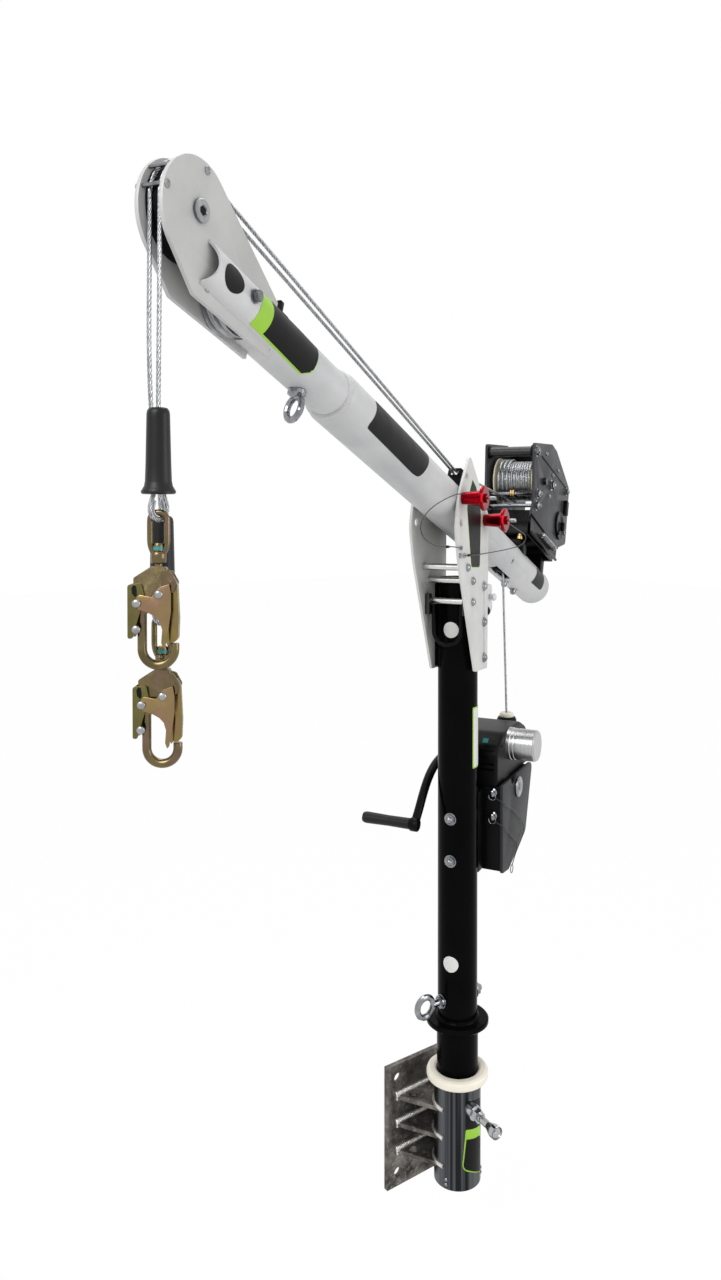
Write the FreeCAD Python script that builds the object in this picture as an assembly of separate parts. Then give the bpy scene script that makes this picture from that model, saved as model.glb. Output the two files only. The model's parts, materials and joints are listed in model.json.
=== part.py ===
import FreeCAD, Part
import math
import os

os.makedirs("parts", exist_ok=True)
V = FreeCAD.Vector
X = V(1, 0, 0)
Y = V(0, 1, 0)
Z = V(0, 0, 1)

# Driving dimensions in millimetres and degrees
GAP = 0.06
SLEW = 28.0
TILT = 18.84
TILT_STEP = 20.0
PIVOT = V(21, 0, 1212)
MAST_R = 36.5
MAST_TOP = 1108.0
SPIGOT_R = 38.0
COLLAR_R = 57.3
COLLAR_TOP = 298.6
COLLAR_T = 9.6
SLEEVE_R = 43.0
SLEEVE_IN = 39.95
SLEEVE_H = 186.0
LINER_TOP = 204.0
LINER_RING_R = 56.7
WALL_GAP = 80.0
WALL_T = 10.0
WALL_W = 203.2
WALL_LOW = -33.0
WALL_HIGH = 196.0
BOLT_X = 152.4
BOLT_Z = 177.8
BOLT_HOLE_R = 8.75
PLUNGER_Z = 147.0
PLUNGER_TURN = 263.0
BOOM_R = 39.0
BOOM_IN = 35.5
BOOM_TAIL = -496.0
BOOM_END = 553.0
INNER_R = 32.5
INNER_IN = 29.0
INNER_END = 879.0
PLATE_IN = 39.5
PLATE_T = 4.5
ANGLE_R = 122.0
HEAD_IN = 12.5
HEAD_T = 5.0
AXLE_T = 902.0
AXLE_N = 46.0
AXLE_R = 8.0
SHEAVE_R = 52.5
SHEAVE_Y = 6.2
SHEAVE_W = 11.6
ROPE_R = 2.4
TAIL_T = -219.0
TAIL_N = -16.0
TAIL_R = 25.0
TAIL_Y = -6.0
DRUM_T = -330.0
DRUM_N = 197.0
WIND_R = 42.4
WIND_TOP_R = 47.75
WIND_PITCH = 5.35
WIND_TOP_PITCH = 9.3
WIND_TURNS = 12.75
WIND_TOP_TURNS = 3.0
WIND_SIDE = 11.0
WINCH_IN = 47.0
WINCH_FAR = 53.0
WINCH_T = 5.0
GEAR_TEETH = 48
PINION_TEETH = 12
MODULE = 2.0
SRL_X = 60.0
CRANK = V(133, 0, 758)
GRIP = V(-65, 0, 663)
HOOK_TURN = -64.87
HOOK_A = V(-879, -10.2, 1181)
HOOK_B = V(-849, 8.7, 1073)
LINK_H = 69.0
BUMPER_H = 86.0
LANYARD_R = 0.9
ROPE_SIDES = 8
WALL_BACK = WALL_GAP + WALL_T
WALL_MID = (WALL_LOW + WALL_HIGH) / 2
PLATE_OUT = PLATE_IN + PLATE_T
HEAD_OUT = HEAD_IN + HEAD_T
WINCH_OUT = WINCH_IN + WINCH_T


# Basic solids and frames
def rod(p, d, r, length):
    return Part.makeCylinder(r, length, p, d)


def ring(p, d, ro, ri, length):
    return rod(p, d, ro, length).cut(rod(p - d * 1, d, ri, length + 2))


def box(x0, x1, y0, y1, z0, z1):
    return Part.makeBox(x1 - x0, y1 - y0, z1 - z0, V(x0, y0, z0))


def turned(shape, p, axis, angle):
    copy = shape.copy()
    copy.rotate(p, axis, angle)
    return copy


def moved(shape, offset):
    copy = shape.copy()
    copy.translate(offset)
    return copy


def mirrored(shape):
    return shape.mirror(V(0, 0, 0), Y)


def fuse(shapes):
    return shapes[0].multiFuse(shapes[1:]).removeSplitter()


def group(shapes):
    return Part.makeCompound(shapes)


def outline(corners, depth, start):
    n = len(corners)
    ends = []
    for i in range(n):
        p = V(corners[i][0], 0, corners[i][1])
        a = V(corners[i - 1][0], 0, corners[i - 1][1])
        b = V(corners[(i + 1) % n][0], 0, corners[(i + 1) % n][1])
        u = (a - p).normalize()
        w = (b - p).normalize()
        half = u.getAngle(w) / 2
        r = corners[i][2]
        cut = r / math.tan(half)
        mid = p + (u + w).normalize() * (r / math.sin(half) - r)
        ends.append((p + u * cut, mid, p + w * cut, r))
    edges = []
    for i in range(n):
        first, mid, last, r = ends[i]
        if r > 0:
            edges.append(Part.Arc(first, mid, last).toShape())
        nxt = ends[(i + 1) % n][0]
        if (nxt - last).Length > 1e-6:
            edges.append(Part.LineSegment(last, nxt).toShape())
    face = Part.Face(Part.Wire(edges))
    return moved(face.extrude(Y * depth), Y * start)


def spun(profile, p, d):
    wire = Part.makePolygon([V(r, 0, h) for r, h in profile + profile[:1]])
    solid = Part.Face(wire).revolve(V(0, 0, 0), Z, 360)
    solid.Placement = FreeCAD.Placement(p, FreeCAD.Rotation(Z, d))
    return Part.Solid(Part.Shell(solid.Faces)) if solid.ShapeType != "Solid" else solid


def dome(p, d, r, height, shank_r, shank):
    profile = [(0, 0), (r, 0), (r, height * 0.4), (r * 0.66, height), (0, height)]
    if shank > 0:
        profile = [(0, -shank), (shank_r, -shank), (shank_r, 0)] + profile[1:]
    return spun(profile, p, d)


def hex_nut(p, d, across, height, bore):
    corners = [V(math.cos(i * math.pi / 3), math.sin(i * math.pi / 3), 0) * (across / math.sqrt(3)) for i in range(7)]
    nut = Part.Face(Part.makePolygon(corners)).extrude(Z * height)
    if bore > 0:
        nut = nut.cut(rod(V(0, 0, -1), Z, bore, height + 2))
    nut.Placement = FreeCAD.Placement(p, FreeCAD.Rotation(Z, d))
    return nut


def route(points, radii):
    edges = []
    last = points[0]
    for i in range(1, len(points) - 1):
        p = points[i]
        u = (points[i - 1] - p).normalize()
        w = (points[i + 1] - p).normalize()
        half = u.getAngle(w) / 2
        cut = radii[i - 1] / math.tan(half)
        first = p + u * cut
        mid = p + (u + w).normalize() * (radii[i - 1] / math.sin(half) - radii[i - 1])
        edges.append(Part.LineSegment(last, first).toShape())
        last = p + w * cut
        edges.append(Part.Arc(first, mid, last).toShape())
    edges.append(Part.LineSegment(last, points[-1]).toShape())
    return Part.Wire(edges)


def section(p, d, r, sides):
    turn = FreeCAD.Rotation(Z, d)
    corners = []
    for i in range(sides + 1):
        a = 2 * math.pi * i / sides
        corners.append(p + turn.multVec(V(math.cos(a), math.sin(a), 0) * r))
    return Part.makePolygon(corners)


def cord(points, radii, r, sides):
    start = section(points[0], points[1] - points[0], r, sides)
    return route(points, radii).makePipeShell([start], True, False)


def loose_radii(points):
    radii = []
    for i in range(1, len(points) - 1):
        u = points[i - 1] - points[i]
        w = points[i + 1] - points[i]
        half = u.getAngle(w) / 2
        radii.append(0.45 * min(u.Length, w.Length) * math.tan(half))
    return radii


def wrap(centre, r, start, stop, count):
    step = (stop - start) / count
    spots = []
    for i in range(count):
        a = start + step * (i + 0.5)
        spots.append(centre + V(math.cos(a), 0, math.sin(a)) * (r / math.cos(step / 2)))
    return spots


def angle_of(d):
    return math.atan2(d.z, d.x)


def eye_ring(r, wire_r):
    corners = []
    for i in range(11):
        a = 2 * math.pi * i / 10
        corners.append(V(r + wire_r * math.cos(a), 0, wire_r * math.sin(a)))
    return Part.Face(Part.makePolygon(corners)).revolve(V(0, 0, 0), Z, 360)


def at_wall(shape):
    return moved(shape, V(0, -WALL_BACK, -WALL_MID))


def at_mast(shape):
    return at_wall(turned(shape, V(0, 0, 0), Z, SLEW))


def at_boom(shape):
    return at_mast(moved(turned(shape, V(0, 0, 0), Y, TILT), PIVOT))


def on_boom(t, y, n):
    return V(-t, y, n)


def boom_to_mast(p):
    return FreeCAD.Rotation(Y, TILT).multVec(p) + PIVOT


def mast_to_boom(p):
    return FreeCAD.Rotation(Y, -TILT).multVec(p - PIVOT)


def tangent(p, centre, r, side):
    d = centre - p
    base = math.atan2(d.z, d.x)
    turn = base + side * math.asin(r / math.hypot(d.x, d.z))
    return V(math.cos(turn), 0, math.sin(turn))


def save(name, shape):
    shape.exportStep("parts/" + name + ".step")


# Wall bracket and sleeve
plate = box(-WALL_W / 2, WALL_W / 2, WALL_GAP, WALL_BACK, WALL_LOW, WALL_HIGH)
for sx in (-1, 1):
    for sz in (-1, 1):
        spot = V(sx * BOLT_X / 2, WALL_GAP - 1, WALL_MID + sz * BOLT_Z / 2)
        plate = plate.cut(rod(spot, Y, BOLT_HOLE_R, WALL_T + 2))
save("wall_plate", at_wall(plate))

gusset = outline([(-83, 0, 3), (83, 0, 3), (40, -79.9, 2), (-40, -79.9, 2)], 8, 0)
gusset = moved(turned(gusset, V(0, 0, 0), X, -90), V(0, WALL_GAP - 0.02, 0))
gusset = gusset.cut(rod(V(0, 0, -20), Z, SLEEVE_R + 0.02, 60))
for sx in (-1, 1):
    gusset = gusset.cut(rod(V(sx * 56, 60, -20), Z, 8, 60))
gussets = [moved(gusset, V(0, 0, z - gusset.BoundBox.ZMin)) for z in (31, 82, 133)]
save("gusset_plates", at_wall(group(gussets)))

down = V(math.cos(math.radians(PLUNGER_TURN)), math.sin(math.radians(PLUNGER_TURN)), 0)
plunger_at = V(0, 0, PLUNGER_Z)
sleeve = ring(V(0, 0, 0), Z, SLEEVE_R, SLEEVE_IN, SLEEVE_H)
sleeve = sleeve.cut(rod(plunger_at, down, 8.05, 60))
save("sleeve_tube", at_wall(sleeve))

bore_r = SPIGOT_R + GAP
liner = spun([(bore_r, 14), (SLEEVE_IN - 0.03, 14), (SLEEVE_IN - 0.03, SLEEVE_H + 0.02),
              (LINER_RING_R - 5, SLEEVE_H + 0.02), (LINER_RING_R - 1.5, SLEEVE_H + 1.6),
              (LINER_RING_R, SLEEVE_H + 5), (LINER_RING_R, LINER_TOP - 6),
              (LINER_RING_R - 2, LINER_TOP - 2), (LINER_RING_R - 6, LINER_TOP),
              (bore_r + 5, LINER_TOP), (bore_r + 1.5, LINER_TOP - 1.5), (bore_r, LINER_TOP - 5)], V(0, 0, 0), Z)
liner = liner.cut(rod(plunger_at, down, 6.5, 60))
save("sleeve_liner", at_wall(liner))

stop = ring(V(0, 0, 3), Z, SLEEVE_IN - 0.03, 25, 10)
rivets = [stop]
for angle, z in ((200, 8), (200, 17), (320, 8), (320, 17), (80, 8), (80, 17)):
    d = V(math.cos(math.radians(angle)), math.sin(math.radians(angle)), 0)
    rivets.append(dome(d * (SLEEVE_R + 0.03) + Z * z, d, 3.2, 1.6, 1, 0))
save("sleeve_stop", at_wall(group(rivets)))

boss = rod(plunger_at + down * 38, down, 13, 20).cut(rod(V(0, 0, 100), Z, SLEEVE_R + 0.02, 100))
boss = fuse([boss, rod(plunger_at + down * 40.5, down, 8, 12), hex_nut(plunger_at + down * 58, down, 20, 13, 0),
             rod(plunger_at + down * 71, down, 7.5, 6)])
boss = boss.cut(rod(plunger_at + down * 30, down, 5 + GAP, 60))
save("plunger_housing", at_wall(boss))

pin = spun([(0, 36.3), (3.5, 36.3), (5, 38), (5, 78), (6.5, 79), (6.5, 96), (10.5, 108), (11.5, 112),
            (11.5, 121), (10, 122), (8.5, 119), (0, 117)], plunger_at, down)
save("plunger_pin", at_wall(pin))

# Mast with its spigot, collar and eye bolt
spigot = spun([(29, 13.3), (SPIGOT_R - 2, 13.3), (SPIGOT_R, 15.3), (SPIGOT_R, PLUNGER_Z - 8),
               (SPIGOT_R - 3.5, PLUNGER_Z - 7), (SPIGOT_R - 3.5, PLUNGER_Z + 7), (SPIGOT_R, PLUNGER_Z + 8),
               (SPIGOT_R, COLLAR_TOP - COLLAR_T), (COLLAR_R - 1.5, COLLAR_TOP - COLLAR_T),
               (COLLAR_R, COLLAR_TOP - COLLAR_T + 1.5), (COLLAR_R, COLLAR_TOP - 2.5),
               (COLLAR_R - 2.5, COLLAR_TOP), (29, COLLAR_TOP)], V(0, 0, 0), Z)
save("mast_spigot", at_mast(spigot))

EYE_Z = 335.0
eye_dir = V(math.cos(math.radians(150)), math.sin(math.radians(150)), 0)
BOLT_ROWS = (672.5, 596.0)
PAD_LOW = 944.0
mast = fuse([rod(V(0, 0, COLLAR_TOP), Z, MAST_R, MAST_TOP - COLLAR_TOP),
             box(-14, 30, -PLATE_IN, PLATE_IN, PAD_LOW, MAST_TOP - 6)])
mast = mast.cut(rod(V(0, 0, COLLAR_TOP - 1), Z, MAST_R - 4, MAST_TOP))
mast = mast.cut(rod(eye_dir * -60 + Z * EYE_Z, eye_dir, 6 + GAP, 120))
for z in BOLT_ROWS:
    mast = mast.cut(rod(V(-60, 0, z), X, 5 + GAP, 120))
save("mast_tube", at_mast(mast))

eye_base = eye_dir * (MAST_R + 0.4) + Z * EYE_Z
mast_ring = turned(turned(eye_ring(17.5, 5.5), V(0, 0, 0), X, 90), V(0, 0, 0), Z, 150)
eye = fuse([rod(eye_dir * -54 + Z * EYE_Z, eye_dir, 6, 113), rod(eye_base, eye_dir, 11, 6),
            moved(mast_ring, eye_dir * 75 + Z * EYE_Z)])
nut = hex_nut(eye_dir * -37 + Z * EYE_Z, eye_dir * -1, 18, 9, 6 + GAP)
washer = ring(eye_dir * -36.6 + Z * EYE_Z, eye_dir * -1, 12, 6 + GAP, 0.35)
save("mast_eye_bolt", at_mast(group([eye, nut, washer])))

# Mast head plates with their rods, bolts, lugs and handle
holes = [(PIVOT.x, PIVOT.z, 8 + GAP)]
for step in (-1, 0, 1):
    a = math.radians(TILT + step * TILT_STEP)
    holes.append((PIVOT.x - ANGLE_R * math.cos(a), PIVOT.z + ANGLE_R * math.sin(a), 7 + GAP))
rod_spots = ((-70, 1130.5), (-42.6, 1105), (-42.6, 1067.5))
bolt_spots = rod_spots + ((19, 1091), (19, 1025.5), (19, 960))
screw_spots = ((-104, 1166), (-110, 1153))
cheek = outline([(-57, 1330, 11), (45, 1221, 8), (38, 938, 6), (-29, 941, 5), (-110, 1137, 40),
                 (-126, 1200, 60), (-112, 1256, 60)], PLATE_T, PLATE_IN)
for x, z, r in holes:
    cheek = cheek.cut(rod(V(x, 0, z), Y, r, 90))
for x, z in bolt_spots:
    cheek = cheek.cut(rod(V(x, 0, z), Y, 5 + GAP, 90))
save("mast_head_plates", at_mast(group([cheek, mirrored(cheek)])))

spacers = [ring(V(x, -PLATE_IN + 0.03, z), Y, 6, 2.6, 2 * PLATE_IN - 0.06) for x, z in rod_spots]
save("head_spacer_rods", at_mast(group(spacers)))

bolts = []
for x, z in bolt_spots:
    bolt = dome(V(x, PLATE_OUT + 0.02, z), Y, 7, 5.5, 5, PLATE_T)
    bolts = bolts + [bolt, mirrored(bolt)]
for x, z in screw_spots:
    bolts.append(mirrored(dome(V(x, PLATE_OUT + 0.02, z), Y, 4.5, 3.5, 2, 0)))
for z in BOLT_ROWS:
    bolts.append(dome(V(-MAST_R - 0.4, 0, z), X * -1, 9.5, 6, 5, 88))
save("mast_bolts", at_mast(group(bolts)))

lug = outline([(33, 1091, 4), (78, 1091, 8), (82, 1040, 10), (33, 1036, 4)], 4.8, PLATE_IN - 5)
lug = lug.cut(rod(V(67, 0, 1067), Y, 5, 90))
lug_bolt = fuse([rod(V(67, -46, 1067), Y, 4.9, 92), dome(V(67, 46, 1067), Y, 7, 5, 1, 0),
                 dome(V(67, -46, 1067), Y * -1, 7, 5, 1, 0)])
HANDLE_X = -54.2
HANDLE_Z = 1062.0
block = box(HANDLE_X - 9, HANDLE_X + 5, 31.2, PLATE_IN - 0.05, 1044, 1081)
block = block.makeFillet(2, [e for e in block.Edges if abs(e.tangentAt(e.FirstParameter).y) > 0.9])
block = block.cut(rod(V(HANDLE_X, 0, HANDLE_Z), Y, 3.5 + GAP, 60))
save("mast_head_brackets", at_mast(group([lug, mirrored(lug), lug_bolt, block, mirrored(block)])))

handle = cord([V(HANDLE_X, 36, HANDLE_Z), V(HANDLE_X, 26, HANDLE_Z), V(HANDLE_X, 26, 990), V(HANDLE_X, -26, 990),
               V(HANDLE_X, -26, HANDLE_Z), V(HANDLE_X, -36, HANDLE_Z)], [5, 25, 25, 5], 3.5, 12)
save("carry_handle", at_mast(handle))

# Lifeline unit behind the mast with its crank
bracket = box(24, SRL_X - 0.1, -32, 32, 560, 708).cut(rod(V(0, 0, 500), Z, MAST_R + 0.02, 300))
bracket = bracket.cut(box(0, SRL_X - 8, -20, 20, 615, 654))
for z in BOLT_ROWS:
    bracket = bracket.cut(rod(V(0, 0, z), X, 5 + GAP, 90))
save("srl_bracket", at_mast(bracket))

SRL_BACK = 48.0
low_shape = [(SRL_X, 553, 4), (96, 549, 6), (205, 588, 20), (253, 712, 12), (SRL_X, 712, 2)]
low_box = outline(low_shape, 110, SRL_BACK - 110)
save("srl_body", at_mast(low_box))

cover = outline([(SRL_X - 2, 551, 4), (96, 546.5, 6), (207, 586, 20), (256, 716, 12), (SRL_X - 2, 716, 2)],
                6, SRL_BACK - 116.1)
cover = cover.cut(outline([(104, 725, 1), (150, 725, 1), (138, 704, 3), (116, 704, 3)], 20, -80))
save("srl_cover", at_mast(cover))

GUIDE = V(238, -18.5, 805)
housing = outline([(54, 712.2, 4), (258, 712.2, 4), (258, 784, 40), (205, 806, 40), (92, 806, 50), (54, 780, 34)],
                  102, SRL_BACK - 106)
housing = housing.makeFillet(6, [e for e in housing.Edges if abs(e.BoundBox.YLength) < 1e-3 and e.BoundBox.ZMax > 713])
for z in (742, 752):
    housing = housing.cut(box(50, 58, -52, -10, z, z + 4))
housing = housing.cut(rod(V(GUIDE.x, GUIDE.y, 760), Z, 9, 60))
save("srl_dome", at_mast(housing))

cap = spun([(0, 0), (31, 0), (31, 7), (30, 8), (30, 14), (29, 15), (29, 18), (30, 19), (30, 52), (27.5, 55.5), (0, 55.5)],
           V(133, SRL_BACK - 106.1, 778), Y * -1)
save("srl_cap", at_mast(cap))

guide = spun([(4, 0), (8.9, 0), (8.9, 44), (14, 45), (15, 48), (13, 53), (7, 53), (4, 49)], GUIDE - Z * 43, Z)
knob = spun([(0, 0), (11, 0), (15, 3), (15, 8), (12, 9), (6, 9), (6, 14), (0, 15)], V(149, SRL_BACK - 116.2, 690), Y * -1)
fittings = [guide, knob]
for z in (700, 668):
    fittings.append(spun([(0, 0), (7, 0), (7, 4), (4, 6), (4, 12), (0, 13)], V(SRL_X - 0.1, -50, z), X * -1))
save("srl_fittings", at_mast(group(fittings)))

arm = outline([(CRANK.x + 14, CRANK.z + 14, 13), (-4, 734, 30), (-78, 668, 12), (-58, 650, 12), (4, 710, 30),
               (CRANK.x + 14, CRANK.z - 14, 13)], 10, 54)
arm = fuse([arm, rod(V(CRANK.x, SRL_BACK - 3.6, CRANK.z), Y, 11, 10), rod(V(GRIP.x, 52, GRIP.z), Y, 11.5, 13.4),
            rod(V(GRIP.x, 60, GRIP.z), Y, 4, 96), hex_nut(V(CRANK.x, 63.5, CRANK.z), Y, 16, 6, 0)])
save("crank_arm", at_mast(arm))

grip = spun([(4 + GAP, 66), (8.5, 66), (10, 68), (9.5, 110), (10.5, 154), (9, 160), (0, 161), (0, 157), (4 + GAP, 157)],
            V(GRIP.x, 0, GRIP.z), Y)
save("crank_grip", at_mast(grip))

# Boom tubes, head plates and their fasteners
T = X * -1
BOOM_L = BOOM_END - BOOM_TAIL
BAND_L = 26.0
tube = spun([(0, 0), (BOOM_R - 3, 0), (BOOM_R, 3), (BOOM_R, BOOM_L - BAND_L / 2), (BOOM_R - 4.5, BOOM_L),
             (INNER_R + 0.06, BOOM_L), (INNER_R + 0.06, BOOM_L - BAND_L), (BOOM_IN, BOOM_L - BAND_L), (BOOM_IN, 4),
             (0, 4)], on_boom(BOOM_TAIL, 0, 0), T)
tube = tube.cut(rod(V(0, -60, 0), Y, 8 + GAP, 120))
tube = tube.cut(rod(on_boom(ANGLE_R, -60, 0), Y, 7 + GAP, 120))
tube = tube.cut(box(185, 282, TAIL_Y - 8, TAIL_Y + 8, -60, -20))
tube = tube.cut(rod(on_boom(TAIL_T, -60, TAIL_N), Y, 5 + GAP, 120))
tube = tube.cut(box(45, 125, -9, 13, 20, 60))
save("boom_outer_tube", at_boom(tube))

inner = fuse([rod(on_boom(400, 0, 0), T, INNER_R, INNER_END - 400), rod(on_boom(400, 0, 0), T, BOOM_IN - 0.03, 15),
              rod(on_boom(490, 0, 0), T, BOOM_IN - 0.03, 32)])
inner = inner.cut(rod(on_boom(390, 0, 0), T, INNER_IN, 600))
for side in (-1, 1):
    mid = side * (HEAD_IN + HEAD_OUT) / 2
    inner = inner.cut(box(-900, -731.5, mid - HEAD_T / 2 - 0.03, mid + HEAD_T / 2 + 0.03, -60, 60))
inner = inner.cut(box(-900, -768, -HEAD_IN, HEAD_IN, -60, 60))
inner = inner.cut(rod(on_boom(INNER_END + 19.2, -60, 0), Y, 29.2, 120))
lock_at = on_boom(801, 0, 2)
inner = inner.cut(rod(lock_at - Y * 60, Y, 5 + GAP, 120))
save("boom_inner_tube", at_boom(inner))

HEAD_C = on_boom(903, 0, 41)
HEAD_R = 60.5


def head_point(angle):
    return HEAD_C + V(-math.cos(math.radians(angle)), 0, math.sin(math.radians(angle))) * HEAD_R


head_edges = [Part.Arc(head_point(111.4), head_point(24.5), head_point(-62.4)).toShape()]
corners = [head_point(-62.4), on_boom(884, 0, -42), on_boom(733, 0, -38), on_boom(733, 0, 34), head_point(111.4)]
for i in range(4):
    head_edges.append(Part.LineSegment(corners[i], corners[i + 1]).toShape())
head = moved(Part.Face(Part.Wire(head_edges)).extrude(Y * HEAD_T), Y * HEAD_IN)
axle_at = on_boom(AXLE_T, 0, AXLE_N)
head = head.cut(rod(axle_at, Y, AXLE_R + 0.02, 60))
head = head.cut(rod(lock_at, Y, 5 + GAP, 60))
save("boom_head_plates", at_boom(group([head, mirrored(head)])))

axle = ring(axle_at - Y * 20.5, Y, AXLE_R, 4.5, 41)
caps = [ring(axle_at + Y * s * (HEAD_OUT + 0.03), Y * s, 12.5, AXLE_R + 0.02, 2.6) for s in (-1, 1)]
save("boom_head_axle", at_boom(group([axle] + caps)))

fasteners = []
for angle in (-5, 20):
    a = math.radians(angle)
    spot = axle_at + V(-math.cos(a), 0, math.sin(a)) * 57.7
    fasteners.append(rod(spot - Y * (HEAD_IN - 0.03), Y, 2.2, 2 * HEAD_IN - 0.06))
fasteners.append(rod(lock_at - Y * 28, Y, 5, 56))
for s in (-1, 1):
    seat = lock_at + Y * s * (INNER_R + 0.05)
    fasteners.append(ring(seat, Y * s, 8.5, 5 + GAP, 1.6))
    fasteners.append(hex_nut(seat + Y * s * 1.7, Y * s, 12, 6, 0))
tail_at = on_boom(TAIL_T, TAIL_Y, TAIL_N)
fasteners.append(rod(on_boom(TAIL_T, -34.5, TAIL_N), Y, 5, 69))
for t in (-300, -366):
    d = V(0, 0.1, -0.995)
    seat = on_boom(t, 0, 0) + d * (BOOM_R + 0.05)
    fasteners.append(spun([(0, 0), (9, 0), (9, 1.6), (6.5, 1.7), (6.5, 7), (4.5, 11), (0, 12.5)], seat, d))
save("boom_fasteners", at_boom(group(fasteners)))

low_ring = turned(turned(eye_ring(15.5, 4.5), V(0, 0, 0), Y, 90), V(0, 0, 0), Z, -25)
boom_eye = spun([(0, -INNER_R - 0.4), (12, -INNER_R - 0.4), (12, -38), (8, -41), (6, -44), (0, -44)], on_boom(631, 0, 0), Z)
boom_eye = fuse([boom_eye, moved(low_ring, on_boom(631, 0, -57))])
save("boom_eye", at_boom(boom_eye))

FAIR_T = 57.0
FAIR_N = 73.0
FAIR_SIDE = {-1: -1.0, 1: 6.2}
fair = outline([(-19, 34, 2), (19, 34, 2), (13.5, 80, 6), (-13.5, 80, 6)], 8, -4)
fair = moved(turned(fair, V(0, 0, 0), Z, 90), on_boom(FAIR_T, 0, 0))
fair = fair.cut(rod(on_boom(400, 0, 0), X, BOOM_R + 0.05, 800))
for s in (-1, 1):
    fair = fair.cut(rod(on_boom(FAIR_T + 20, FAIR_SIDE[s], FAIR_N - 1), X, 4.8, 40))
save("rope_fairlead", at_boom(fair))

# Sheaves
def sheave(r, width, hub_r, holes_at):
    lip = r + 0.4
    wheel = spun([(hub_r, -width / 2), (lip, -width / 2), (lip, -width / 2 + 1), (r - ROPE_R - 0.3, -1.6),
                  (r - ROPE_R - 0.3, 1.6), (lip, width / 2 - 1), (lip, width / 2), (hub_r, width / 2)], V(0, 0, 0), Y)
    for i in range(holes_at):
        a = 2 * math.pi * i / holes_at
        wheel = wheel.cut(rod(V(math.cos(a) * r * 0.56, -20, math.sin(a) * r * 0.56), Y, r * 0.17, 40))
    return wheel


big = sheave(SHEAVE_R, SHEAVE_W, AXLE_R + GAP, 5)
save("head_sheave_near", at_boom(moved(big, axle_at - Y * SHEAVE_Y)))
save("head_sheave_far", at_boom(moved(big, axle_at + Y * SHEAVE_Y)))
save("tail_sheave", at_boom(moved(sheave(TAIL_R, 11, 5 + GAP, 0), tail_at)))

# Winch
drum_at = on_boom(DRUM_T, 0, DRUM_N)
mesh = math.radians(12)
pinion_at = drum_at + V(math.cos(mesh), 0, math.sin(mesh)) * (MODULE * (GEAR_TEETH + PINION_TEETH) / 2)


def side_plate(start):
    wall = outline([(236, 250, 8), (270, 128, 10), (259, 94, 5), (474, 86, 8), (556, 122, 12), (549, 258, 14),
                    (414, 301, 14), (372, 301, 10)], WINCH_T, start)
    wall = wall.cut(rod(drum_at - Y * 90, Y, 8 + GAP, 180))
    wall = wall.cut(rod(pinion_at - Y * 90, Y, 6 + GAP, 180))
    for n in (154, 127):
        wall = wall.cut(rod(on_boom(-288, -90, n), Y, 4 + GAP, 180))
    return wall


lip = outline([(372, 300.9, 10), (414, 300.9, 14), (549, 257.9, 14), (548, 248, 8), (412, 291, 10), (372, 291, 6)],
              9, -WINCH_OUT - 9)
near_wall = fuse([side_plate(-WINCH_OUT), lip])
save("winch_side_plates", at_boom(group([side_plate(WINCH_FAR), near_wall])))

top = ring(on_boom(-254, -WINCH_IN + 0.03, 238), Y, 10.5, 7, WINCH_IN + WINCH_FAR - 0.06)
ties = [top]
for n in (154, 127):
    ties.append(rod(on_boom(-288, -WINCH_OUT - 9, n), Y, 4, WINCH_OUT + WINCH_FAR + WINCH_T + 18))
    for s, face in ((-1, WINCH_OUT), (1, WINCH_FAR + WINCH_T)):
        ties.append(hex_nut(on_boom(-288, s * (face + 0.03), n), Y * s, 13, 6.5, 4 + GAP))
for t, n in ((-254, 238), (-521, 241), (-520, 140)):
    ties.append(hex_nut(on_boom(t, -WINCH_OUT - 0.03, n), Y * -1, 13, 6, 0))
save("winch_cross_bars", at_boom(group(ties)))

base = box(262, 476, -WINCH_IN + 0.05, WINCH_FAR - 0.05, 56, 84)
base = base.cut(box(272, 466, -WINCH_IN + 4, WINCH_FAR - 4, 50, 80))
saddle = [box(t, t + 26, -34, 34, 12, 60) for t in (284, 428)]
base = fuse([base] + saddle).cut(rod(on_boom(400, 0, 0), X, BOOM_R + 0.05, 1000))
save("winch_bracket", at_boom(base))


def toothed(count, r, start, width, phase):
    pitch = 2 * math.pi / count
    points = []
    for i in range(count):
        a = phase + i * pitch
        for share, radius in ((-0.36, r - 2.3), (-0.21, r), (-0.1, r + 1.7), (0.1, r + 1.7), (0.21, r), (0.36, r - 2.3)):
            points.append(V(math.cos(a + share * pitch) * radius, 0, math.sin(a + share * pitch) * radius))
    wheel = Part.Face(Part.makePolygon(points + points[:1])).extrude(Y * width)
    return moved(wheel, Y * start)


gear = toothed(GEAR_TEETH, MODULE * GEAR_TEETH / 2, -46, 4.6, mesh)
drum = spun([(0, -59), (8, -59), (8, -46), (14, -46), (14, -41.4), (52, -41.4), (52, -38.4), (30, -38), (30, 44),
             (52, 44.4), (52, 47.4), (14, 47.4), (14, 52.6), (8, 52.6), (8, 65), (0, 65)], V(0, 0, 0), Y)
save("winch_drum", at_boom(moved(fuse([drum, gear]), drum_at)))

half = math.pi / PINION_TEETH
pinion = fuse([toothed(PINION_TEETH, MODULE * PINION_TEETH / 2, -46, 4.5, math.pi + mesh + half),
               rod(V(0, -60, 0), Y, 6, 112), hex_nut(V(0, -60, 0), Y, 14, 6, 0)])
save("winch_pinion", at_boom(moved(pinion, pinion_at)))

# Ropes on the boom, each a list of corners with its bends as large as the wheels
plumb = FreeCAD.Rotation(Y, -TILT).multVec(Z * -1)
drop_side = FreeCAD.Rotation(Y, -TILT).multVec(X * -1)
WRAP_SHARE = 0.98


def fair_point(side):
    return on_boom(FAIR_T, FAIR_SIDE[side], FAIR_N)


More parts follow.
